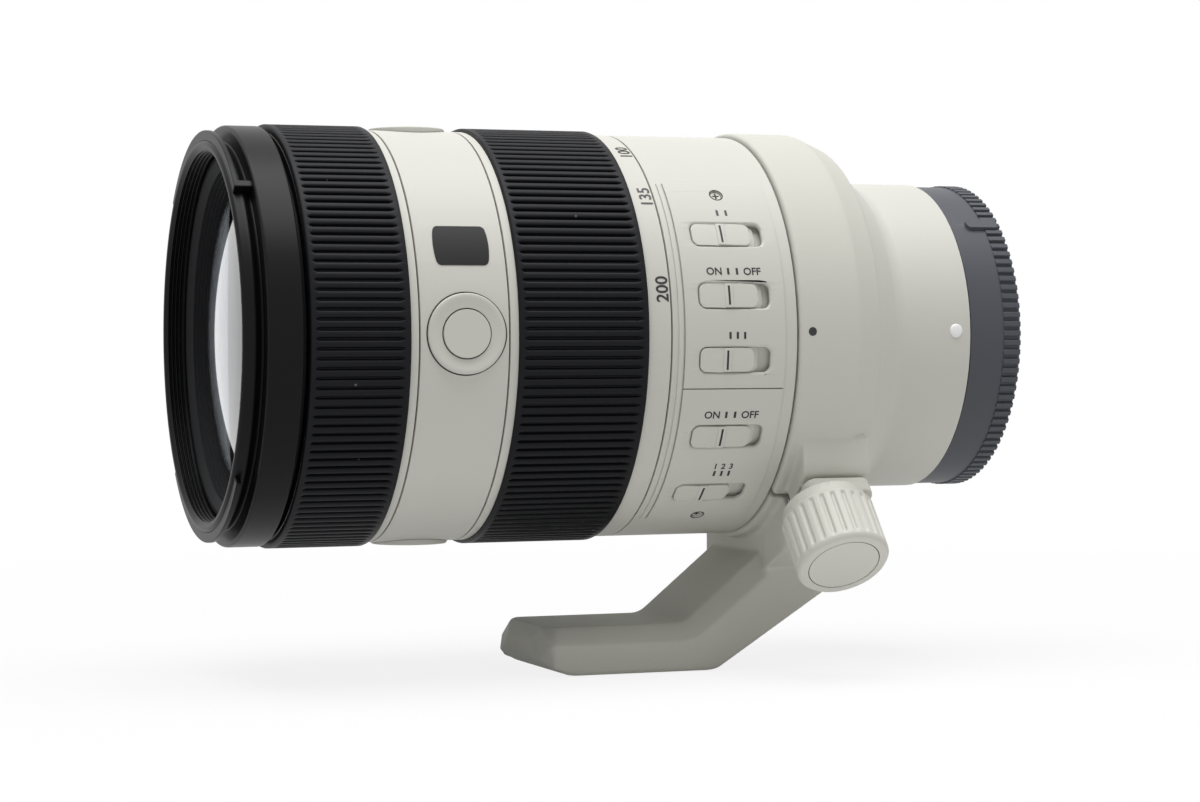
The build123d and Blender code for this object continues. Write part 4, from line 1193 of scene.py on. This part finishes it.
@dataclass
class HoldButtons:
    """The three hold buttons, their dished bezels and the painted shade lines in the gaps round both."""

    place: float = -108.95
    bezel_radius: float = 7.5
    bezel_bore: float = 4.75
    bezel_base: float = 39.25
    recess_radius: float = 5.2
    recess_top: float = 40.06
    bezel_top: float = 40.75
    dish: float = 0.35
    dish_curve: tuple[Spot, ...] = ((0.0, 0.0), (0.3, 0.0), (0.9, 0.06), (1.4, 0.19))
    crest_curve: tuple[Spot, ...] = ((1.8, -0.05), (2.05, 0.0))
    edge_curve: tuple[Spot, ...] = ((-0.35, 0.0), (-0.12, -0.09), (0.0, -0.32))
    cap_radius: float = 4.5
    cap_edge: float = 0.14
    # Painted shade: dark lines in the gaps round the bezel and round the cap
    line_width: float = 0.26
    line_height: float = 0.03
    line_sink: float = 0.05
    line_gap: float = 0.02
    cap_gap: float = 0.03
    body_radius: float = 40.3
    sides: tuple[tuple[Body, float], ...] = (
        (Body.SIDE_BUTTON, 0.0), (Body.TOP_BUTTON, 90.0), (Body.BOTTOM_BUTTON, -90.0))

    def build(self, shop: Workshop) -> None:
        """Builds the bezels, softens the caps and draws dark lines of painted shade in the gaps.

        Args:
            shop: the workshop.
        """
        bezels, lines = [], []
        near, far = self.bezel_radius - self.line_sink, self.bezel_radius + self.line_width
        for body, angle in self.sides:
            side = body.value.removesuffix("_button")
            shop.soften(f"hold_button_{side}", CREAM, body, Slot.CREAM, self.cap_edge)
            stem = Stem.at(self.place, angle)
            bezels.append(stem.turned(self.bezel_rows()))
            # Painted shade: a dark line on the barrel round the bezel, and one in the gap round the cap
            lines.append(wrapped_ring(self.place, angle, self.body_radius, self.line_height, near, far))
            lines.append(stem.turned(self.cap_gap_shade_rows()))
        shop.piece("bezel_rings", together(bezels), WHITE_PAINT, Body.BARREL, Slot.PAINT, "button_bezels",
                   sharp_angle=40.0)
        shop.piece("bezel_gap_shade", together(lines), GAP_SHADE_PAINT, Body.BARREL, Slot.BLACK)

    def bezel_rows(self) -> list[Row]:
        """The bezel's outline, from its bore over the dish and the rounded crest.

        Returns:
            Radius and height of each point, with no flutes.
        """
        bore, outer, top = self.bezel_bore, self.bezel_radius, self.bezel_top
        spots = [(self.recess_radius, self.bezel_base), (self.recess_radius, self.recess_top),
                 (bore, self.recess_top)]
        curves = ((bore, top - self.dish, self.dish_curve), (bore, top, self.crest_curve),
                  (outer, top, self.edge_curve))
        for radius, height, curve in curves:
            spots += [(radius + away, height + rise) for away, rise in curve]
        return [(radius, height, 0.0) for radius, height in spots + [(outer, self.bezel_base)]]

    def cap_gap_shade_rows(self) -> list[Row]:
        """The outline of the painted shade line in the gap between the bezel and the cap.

        Returns:
            Radius and height of each point, with no flutes.
        """
        low, high = self.recess_top + self.line_gap, self.bezel_top - self.dish - self.line_sink
        near, far = self.cap_radius + self.cap_gap, self.bezel_bore - self.line_gap
        return [(near, low, 0.0), (near, high, 0.0), (far, high, 0.0), (far, low, 0.0)]


@dataclass
class SwitchPanel:
    """Both panel plates, five sliders with their marks, the screws with painted shade in their slots and
    gaps, and the printed labels.
    """

    radius: float = 40.65
    plate_edge: float = 0.14
    slider_angles: tuple[float, ...] = (27.8, 10.2, -7.2, -29.2, -49.5)
    slider_edge: float = 0.12
    ridge_rise: float = 0.25
    screw_angles: tuple[float, ...] = (41.2, -60.8)
    screw_radius: float = 1.1
    screw_top: float = 40.3
    # Painted shade: dark lines in the gaps round the screw heads and holes, and dark crosses for the slots
    head_gap_shade: Spot = (-0.06, 0.02)
    hole_gap_shade: Spot = (0.07, 0.3)
    slot_reach: float = 0.68
    slot_half: float = 0.17
    mark_height: float = 0.03
    tick_width: float = 0.42
    tick_length: float = 3.7
    print_height: float = 0.045
    bar_width: float = 0.45
    bar_height: float = 1.3
    two_bars: tuple[tuple[float, bool], ...] = ((34.8, False), (16.9, True), (-22.5, True))
    two_start: float = 0.3
    two_pitch: float = 1.8
    on_shift: float = -2.9
    off_shift: float = 3.1
    three_bars: tuple[tuple[int, float, float], ...] = ((3, -0.6, 0.5), (5, -41.6, 1.1))
    three_pitch: float = 1.5
    cap_height: float = 1.5
    number_angle: float = -39.0
    number_height: float = 1.35
    digit_start: float = 0.95
    digit_pitch: float = 1.6

    def build(self, shop: Workshop) -> None:
        """Builds the panel's pieces and prints.

        Args:
            shop: the workshop.
        """
        for node in ("switch_panel_upper", "switch_panel_lower"):
            shop.soften(node, WHITE_PAINT, Body.BARREL, Slot.PAINT, self.plate_edge)
        for number, angle in enumerate(self.slider_angles, 1):
            self.slider(shop, number, angle)
        self.screws(shop)
        self.labels(shop)

    def middle(self, number: int) -> float:
        """Where one slider's middle is along the lens."""
        return sum(span(f"switch_slider_{number}")) / 2

    def slider(self, shop: Workshop, number: int, angle: float) -> None:
        """One slider with the black line on its ridge.

        Args:
            shop: the workshop.
            number: the slider's number.
            angle: its angle.
        """
        body = Body(f"switch_{number}")
        shop.soften(f"switch_slider_{number}", CREAM, body, Slot.CREAM, self.slider_edge)
        wide, tall = self.tick_width / 2, self.tick_length / 2
        outline = [(-wide, -tall), (wide, -tall), (wide, 0.0), (wide, tall), (-wide, tall), (-wide, 0.0)]
        tick = wrapped(outline, self.middle(number), angle, self.radius + self.ridge_rise, self.mark_height)
        shop.piece(f"slider_line_{number}", tick, INK_BLACK, body, Slot.CREAM, sharp_angle=32.0)

    def screws(self, shop: Workshop) -> None:
        """Painted shade of the two panel screws: dark crosses for their slots and dark lines in the gaps
        round them.

        Args:
            shop: the workshop.
        """
        place = sum(span("switch_panel_upper")) / 2
        shop.dress(CREAM, "panel_screws")
        arm, half = self.slot_reach, self.slot_half
        cross = [(-arm, -half), (-half, -half), (-half, -arm), (half, -arm), (half, -half), (arm, -half),
                 (arm, half), (half, half), (half, arm), (-half, arm), (-half, half), (-arm, half)]
        marks = []
        for angle in self.screw_angles:
            # Painted shade: a dark cross for the screw's slot, and dark lines in the gaps round its head
            # and its hole
            marks.append(wrapped(cross, place, angle, self.screw_top, self.mark_height))
            for level, (near, far) in ((self.screw_top, self.head_gap_shade), (self.radius, self.hole_gap_shade)):
                marks.append(wrapped_ring(place, angle, level, self.mark_height, self.screw_radius + near,
                                          self.screw_radius + far))
        shop.piece("screw_slot_shade", together(marks), GAP_SHADE_PAINT, Body.BARREL, Slot.STEEL)

    def word(self, words: str, place: float, angle: float, cap_height: float) -> Solid:
        """One printed word or digit."""
        return Label(words, place, angle, cap_height).solid(self.radius, self.print_height)

    def bar(self, place: float, angle: float) -> Solid:
        """One printed bar.

        Args:
            place: where it is along the lens.
            angle: its angle.

        Returns:
            Points and faces of the bar.
        """
        half, tall = self.bar_width / 2, self.bar_height / 2
        outline = [(-half, -tall), (half, -tall), (half, tall), (-half, tall)]
        return wrapped(outline, place, angle, self.radius, self.print_height)

    def labels(self, shop: Workshop) -> None:
        """Prints the bars, the ON and OFF marks and the digits.

        Args:
            shop: the workshop.
        """
        prints = []
        first = self.middle(1) + self.two_start
        second = first + self.two_pitch
        for angle, worded in self.two_bars:
            prints += [self.bar(first, angle), self.bar(second, angle)]
            if worded:
                for words, place in (("ON", first + self.on_shift), ("OFF", second + self.off_shift)):
                    prints.append(self.word(words, place, angle, self.cap_height))
        for number, angle, shift in self.three_bars:
            start = self.middle(number) + shift
            prints += [self.bar(start + self.three_pitch * step, angle) for step in range(3)]
        for step, digit in enumerate("123"):
            place = self.middle(5) + self.digit_start + self.digit_pitch * step
            prints.append(self.word(digit, place, self.number_angle, self.number_height))
        shop.piece("panel_prints", together(prints), INK_BLACK, Body.BARREL, Slot.BLACK)


@dataclass
class ZoomNumbers:
    """Focal lengths printed round the zoom ring."""

    radius: float = 40.3
    place: float = -70.2
    print_height: float = 0.045
    cap_height: float = 2.5
    numbers: tuple[tuple[str, float], ...] = (("200", 12.0), ("135", 41.0), ("100", 62.5), ("70", 90.0))

    def build(self, shop: Workshop) -> None:
        """Prints the numbers.

        Args:
            shop: the workshop.
        """
        labels = [Label(words, self.place, angle, self.cap_height, Reading.ROUND)
                  for words, angle in self.numbers]
        prints = [label.solid(self.radius, self.print_height) for label in labels]
        shop.piece("zoom_numbers", together(prints), INK_BLACK, Body.ZOOM, Slot.BLACK)


@dataclass
class Badge:
    """The bare dark plate on the front shell, with bowed sides."""

    place: float = -109.0
    angle: float = 24.0
    end_half: float = 4.85
    middle_half: float = 5.35
    tall_half: float = 4.0
    corner: float = 0.8
    radius: float = 40.36
    rise: float = 0.06
    sink: float = 0.3
    steps: int = 32

    def half_width(self, across: float) -> float:
        """Half of the plate's width at this distance from its middle line.

        Args:
            across: distance round the barrel.

        Returns:
            The half width in millimetres.
        """
        share = abs(across) / self.tall_half
        bowed = self.middle_half - (self.middle_half - self.end_half) * share ** 2
        over = max(0.0, abs(across) - (self.tall_half - self.corner))
        return bowed - self.corner + math.sqrt(max(0.0, self.corner ** 2 - over ** 2))

    def build(self, shop: Workshop) -> None:
        """Builds the plate in place of its CAD node.

        Args:
            shop: the workshop.
        """
        spots = [-math.cos(math.pi * step / self.steps) * self.tall_half for step in range(self.steps + 1)]
        shares = [(-1.0, False)] + [(share, True) for share in (-1.0, -0.5, 0.0, 0.5, 1.0)] + [(1.0, False)]
        rows = [(spots[0], False)] + [(spot, True) for spot in spots] + [(spots[-1], False)]
        points: list[Point] = []
        for across, upper in rows:
            for share, raised in shares:
                level = self.radius + (self.rise if upper and raised else -self.sink)
                points.append(on_barrel(self.place + share * self.half_width(across),
                                        self.angle + math.degrees(across / self.radius), level))
        wide = len(shares)
        starts = [row * wide + step for row in range(len(rows) - 1) for step in range(wide - 1)]
        faces = [(start, start + 1, start + wide + 1, start + wide) for start in starts]
        shop.piece("badge_face", (points, faces), PLATE_BLACK, Body.BARREL, Slot.PLATE, "badge_plate",
                   sharp_angle=40.0)


@dataclass
class TripodCollar:
    """The cast collar with its foot and its index dot."""

    voxel: float = 0.36
    smooth_share: float = 0.6
    smooth_rounds: int = 5
    dot_place: float = -40.0
    dot_angle: float = 0.4
    dot_radius: float = 0.85
    dot_height: float = 0.02
    dot_steps: int = 40
    collar_radius: float = 41.2
    nose_cut: float = 2.4
    nose_corner: float = 7.5
    nose_slope: float = 0.92
    foot_height: float = 14.0

    def square_nose(self, data: bpy.types.Mesh) -> None:
        """Presses the foot's nose back to an upright face with a sloping top.

        Args:
            data: the casting's mesh.
        """
        front = min(v.co.x for v in data.vertices)
        floor = min(v.co.z for v in data.vertices)
        corner = floor + self.nose_corner * MM
        for v in data.vertices:
            if v.co.z < floor + self.foot_height * MM:
                least = front + self.nose_cut * MM + max(0.0, v.co.z - corner) * self.nose_slope
                v.co.x = max(v.co.x, least)

    def build(self, shop: Workshop) -> None:
        """Rounds the casting's edges and adds the index dot.

        Args:
            shop: the workshop.
        """
        data = frame["nodes"]["tripod_collar"].data.copy()
        self.square_nose(data)
        casting = shop.object("collar_casting", data, CAST_PAINT, 180.0)
        casting.modifiers.clear()
        remesh = casting.modifiers.new("cast_skin", "REMESH")
        remesh.mode = "VOXEL"
        remesh.voxel_size = self.voxel * MM
        remesh.use_smooth_shade = True
        soften = casting.modifiers.new("cast_edges", "SMOOTH")
        soften.factor = self.smooth_share
        soften.iterations = self.smooth_rounds
        shop.fit(casting, Body.COLLAR, Slot.PAINT, "tripod_collar")
        turns = [2 * math.pi * step / self.dot_steps for step in range(self.dot_steps)]
        outline = [(self.dot_radius * math.cos(turn), self.dot_radius * math.sin(turn)) for turn in turns]
        dot = wrapped(outline, self.dot_place, self.dot_angle, self.collar_radius, self.dot_height)
        shop.piece("collar_dot", dot, INK_BLACK, Body.COLLAR, Slot.BLACK)


FLUTE_SECTION = ((0.0, 0.0), (0.22, 0.02), (0.3, 0.2), (0.38, 0.85), (0.45, 1.0), (0.55, 1.0), (0.62, 0.85),
                 (0.7, 0.2), (0.78, 0.02))


@dataclass
class ClampKnob:
    """The fluted clamp knob and the disc in its face."""

    out: Point = (0.0, -0.66262, -0.748956)
    foot: Point = (-35.6, -3.4451976, 3.048052)
    base: float = 49.1
    length: float = 14.2
    radius: float = 9.15
    neck_radius: float = 8.4
    neck_length: float = 2.4
    flutes: int = 26
    flute_depth: float = 0.5
    neck_edge: float = 0.3
    neck_gap: float = 0.25
    edge: float = 0.9
    rear_curve: tuple[Row, ...] = (
        (-0.35, 0.0, 0.0), (0.0, 0.35, 0.0), (0.0, 0.7, 0.0), (0.0, 0.95, 0.55), (0.0, 1.4, 1.0))
    front_curve: tuple[Row, ...] = ((0.0, -1.2, 1.0), (0.0, -0.6, 0.5), (0.0, -0.3, 0.0))
    edge_drop: float = 0.06
    edge_share: float = 0.75
    face_edge: float = 0.3
    face_drop: float = 0.12
    disc_radius: float = 6.9
    disc_gap: float = 0.12
    disc_mouth: float = 0.18
    disc_depth: float = 0.6
    bore: float = 2.55
    # Painted shade: a dark line in the gap round the disc
    line_near: float = 0.01
    line_far: float = 0.14
    line_low: float = 0.02
    line_high: float = 0.08
    line_steps: int = 120

    def build(self, shop: Workshop) -> None:
        """Builds the knob in place of its CAD node and draws a painted shade line in the gap round its
        disc.

        Args:
            shop: the workshop.
        """
        stem = Stem(self.foot, self.out)
        base, end = self.base, self.base + self.length
        neck, shoulder = base + self.neck_length, end - self.edge
        face = self.radius - self.flute_depth
        rows = [
            (0.0, base + self.length / 2, 0.0),
            (self.bore, base + self.length / 2, 0.0),
            (self.bore, base, 0.0),
            (self.neck_radius - self.neck_edge, base, 0.0),
            (self.neck_radius, base + self.neck_edge, 0.0),
            (self.neck_radius, neck - self.neck_gap, 0.0),
        ]
        for level, curve in ((neck, self.rear_curve), (shoulder, self.front_curve)):
            rows += [(self.radius + away, level + rise, self.flute_depth * share)
                     for away, rise, share in curve]
        rows += [
            (self.radius - self.edge_drop, end - self.edge * self.edge_share, 0.0),
            (face, end - self.face_drop, 0.0),
            (face - self.face_edge, end, 0.0),
            (self.disc_radius + self.disc_mouth, end, 0.0),
            (self.disc_radius + self.disc_gap, end - self.disc_depth, 0.0),
            (0.0, end - self.disc_depth, 0.0),
        ]
        knob = stem.turned(rows, self.flutes, FLUTE_SECTION, closed=False)
        shop.piece("knob_body", knob, CREAM, Body.KNOB, Slot.CREAM, "clamp_knob", sharp_angle=50.0)
        shop.dress(CREAM, "knob_disc")
        # Painted shade: a dark ring set in the recess round the disc
        low, high = end - self.disc_depth + self.line_low, end - self.line_high
        near, far = self.disc_radius + self.line_near, self.disc_radius + self.line_far
        outline = [(near, low, 0.0), (near, high, 0.0), (far, high, 0.0), (far, low, 0.0)]
        line = stem.turned(outline, self.line_steps)
        shop.piece("knob_gap_shade", line, GAP_SHADE_PAINT, Body.KNOB, Slot.BLACK)


@dataclass
class RearCap:
    """The rear cap with its smooth band, ribbed rim and index bar."""

    edge: float = 0.1
    turn: float = 42.0

    def build(self, shop: Workshop) -> None:
        """Rounds the edges of the cap's CAD node.

        Args:
            shop: the workshop.
        """
        shop.soften("rear_cap", CAP_PLASTIC, Body.CAP, Slot.CAP, self.edge, self.turn)


@dataclass
class MountBead:
    """The white index bead on the mount barrel."""

    place: float = -4.6
    angle: float = 1.0
    radius: float = 1.4
    base: float = 31.42
    height: float = 0.42
    steps: int = 36
    rings: int = 5

    def build(self, shop: Workshop) -> None:
        """Builds the domed bead in place of its CAD node.

        Args:
            shop: the workshop.
        """
        rows = []
        for ring in range(self.rings + 1):
            turn = math.pi / 2 * ring / self.rings
            rows.append((self.radius * math.cos(turn), self.base + self.height * math.sin(turn), 0.0))
        points, faces = Stem.at(self.place, self.angle).turned(rows, self.steps, closed=False)
        faces.append(tuple(range(self.steps)))
        shop.piece("index_bead", (points, faces), BEAD_WHITE, Body.BARREL, Slot.BEAD, "mount_bead")


@dataclass
class Studio:
    """Floor, lights, world and camera."""

    camera_place: Point = (-263.865, -548.443, -6.417)
    camera_yaw: float = -0.34185
    camera_pitch: float = -0.011511
    camera_roll: float = -0.00612
    focal_length: float = 86.552
    sensor_width: float = 36.0
    lamp_place: Point = (-100.0, -120.0, 750.0)
    lamp_target: Point = (-70.0, 0.0, 0.0)
    lamp_size: Spot = (900.0, 700.0)
    lamp_power: float = 8.4
    surround_strength: float = 0.25
    floor_reach: float = 3000.0
    floor_gap: float = 0.2
    floor_tone: float = 0.82
    floor_roughness: float = 0.9
    shadow_middle: Point = (-60.0, 0.0, -104.0)
    shadow_near: float = 90.0
    shadow_far: float = 420.0
    shadow_share: float = 0.85
    white: tuple[float, float, float, float] = (1.0, 1.0, 1.0, 1.0)

    def build(self) -> None:
        """Makes the floor, the lights, the world and the camera."""
        bpy.context.scene.view_settings.view_transform = "Standard"
        self.floor()
        self.world()
        self.lamp()
        self.camera()

    def camera(self) -> None:
        """Stands the camera where the photograph was taken from."""
        data = bpy.data.cameras.new("camera")
        data.lens = self.focal_length
        data.sensor_width = self.sensor_width
        data.sensor_fit = "HORIZONTAL"
        data.clip_start = 0.01
        camera = bpy.data.objects.new("camera", data)
        bpy.context.scene.collection.objects.link(camera)
        yaw, pitch, roll = self.camera_yaw, self.camera_pitch, self.camera_roll
        right = Vector((math.cos(yaw), math.sin(yaw), 0))
        level = Vector((-math.sin(yaw), math.cos(yaw), 0))
        upright = Vector((0, 0, 1))
        ahead = level * math.cos(pitch) + upright * math.sin(pitch)
        above = upright * math.cos(pitch) - level * math.sin(pitch)
        side = right * math.cos(roll) + above * math.sin(roll)
        top = above * math.cos(roll) - right * math.sin(roll)
        turn = Matrix((side, top, -ahead)).transposed().to_4x4()
        camera.matrix_world = Matrix.Translation(Vector(self.camera_place) * MM) @ turn
        bpy.context.scene.camera = camera

    def floor(self) -> None:
        """Lays a pale floor under the foot."""
        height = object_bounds()[0].z - self.floor_gap * MM
        reach = self.floor_reach * MM
        data = bpy.data.meshes.new("floor")
        data.from_pydata([(-reach, -reach, height), (reach, -reach, height), (reach, reach, height),
                          (-reach, reach, height)], [], [(0, 1, 2, 3)])
        floor = bpy.data.objects.new("floor", data)
        bpy.context.scene.collection.objects.link(floor)
        data.materials.append(self.floor_material())
        floor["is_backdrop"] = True

    def white_rays(self, tree: bpy.types.NodeTree) -> bpy.types.NodeSocket:
        """Tells the rays that see the background: from the camera, off gloss and through glass.

        Args:
            tree: the node tree to add to.

        Returns:
            A socket that is 1 for such rays.
        """
        paths = tree.nodes.new("ShaderNodeLightPath")
        seen = paths.outputs["Is Camera Ray"]
        for other in ("Is Glossy Ray", "Is Transmission Ray"):
            either = add_node(tree, "ShaderNodeMath", operation="MAXIMUM")
            join(tree, (seen, either.inputs[0]), (paths.outputs[other], either.inputs[1]))
            seen = either.outputs["Value"]
        return seen

    def floor_material(self) -> bpy.types.Material:
        """A pale matt floor that shows white to the camera and keeps a faint shadow near the lens.

        Returns:
            The material.
        """
        made = bpy.data.materials.new("floor_white")
        made.use_nodes = True
        tree = made.node_tree
        shader = tree.nodes["Principled BSDF"]
        tone = self.floor_tone
        set_inputs(shader, {"Base Color": (tone, tone, tone, 1.0), "Roughness": self.floor_roughness,
                            "Specular IOR Level": 0.0})
        glow = add_node(tree, "ShaderNodeEmission", {"Color": self.white, "Strength": 1.0})
        place = add_node(tree, "ShaderNodeNewGeometry")
        middle = tuple(value * MM for value in self.shadow_middle)
        away = add_node(tree, "ShaderNodeVectorMath", {1: middle}, operation="DISTANCE")
        fade = add_node(tree, "ShaderNodeMapRange", {
            "From Min": self.shadow_near * MM, "From Max": self.shadow_far * MM,
            "To Min": self.shadow_share, "To Max": 1.0})
        weight = add_node(tree, "ShaderNodeMath", operation="MULTIPLY")
        blend = add_node(tree, "ShaderNodeMixShader")
        join(tree, (place.outputs["Position"], away.inputs[0]),
             (away.outputs["Value"], fade.inputs["Value"]),
             (self.white_rays(tree), weight.inputs[0]),
             (fade.outputs["Result"], weight.inputs[1]),
             (weight.outputs["Value"], blend.inputs["Fac"]),
             (shader.outputs["BSDF"], blend.inputs[1]),
             (glow.outputs["Emission"], blend.inputs[2]),
             (blend.outputs["Shader"], tree.nodes["Material Output"].inputs["Surface"]))
        return made

    def world(self) -> None:
        """A plain surround that lights softly, and shows white to the camera and in reflections."""
        world = bpy.data.worlds.new("surround")
        bpy.context.scene.world = world
        world.use_nodes = True
        tree = world.node_tree
        soft = tree.nodes["Background"]
        set_inputs(soft, {"Color": self.white, "Strength": self.surround_strength})
        white = add_node(tree, "ShaderNodeBackground", {"Color": self.white, "Strength": 1.0})
        blend = add_node(tree, "ShaderNodeMixShader")
        join(tree, (self.white_rays(tree), blend.inputs["Fac"]),
             (soft.outputs["Background"], blend.inputs[1]),
             (white.outputs["Background"], blend.inputs[2]),
             (blend.outputs["Shader"], tree.nodes["World Output"].inputs["Surface"]))

    def lamp(self) -> None:
        """Hangs one large soft light overhead, which the camera doesn't see."""
        data = bpy.data.lights.new("overhead", "AREA")
        data.shape = "RECTANGLE"
        data.size, data.size_y = (side * MM for side in self.lamp_size)
        data.energy = self.lamp_power
        lamp = bpy.data.objects.new("overhead", data)
        bpy.context.scene.collection.objects.link(lamp)
        lamp.location = Vector(self.lamp_place) * MM
        aim = Vector(self.lamp_target) - Vector(self.lamp_place)
        lamp.rotation_euler = aim.to_track_quat("-Z", "Y").to_euler()
        lamp.visible_camera = False


ASSEMBLIES: tuple[type, ...] = (InnerParts, FrontRing, FrontGlass, Grips, WhiteBarrel, HoldButtons, Badge,
                                SwitchPanel, ZoomNumbers, TripodCollar, ClampKnob, MountBead, RearCap)


def main() -> None:
    """Builds the sub-assemblies in order, then the studio."""
    logging.basicConfig(level=logging.INFO, format="%(message)s")
    shop = Workshop()
    for kind in ASSEMBLIES:
        kind().build(shop)
    Studio().build()
    log.info("%d pieces made", shop.count)


if __name__ == "__main__":
    main()
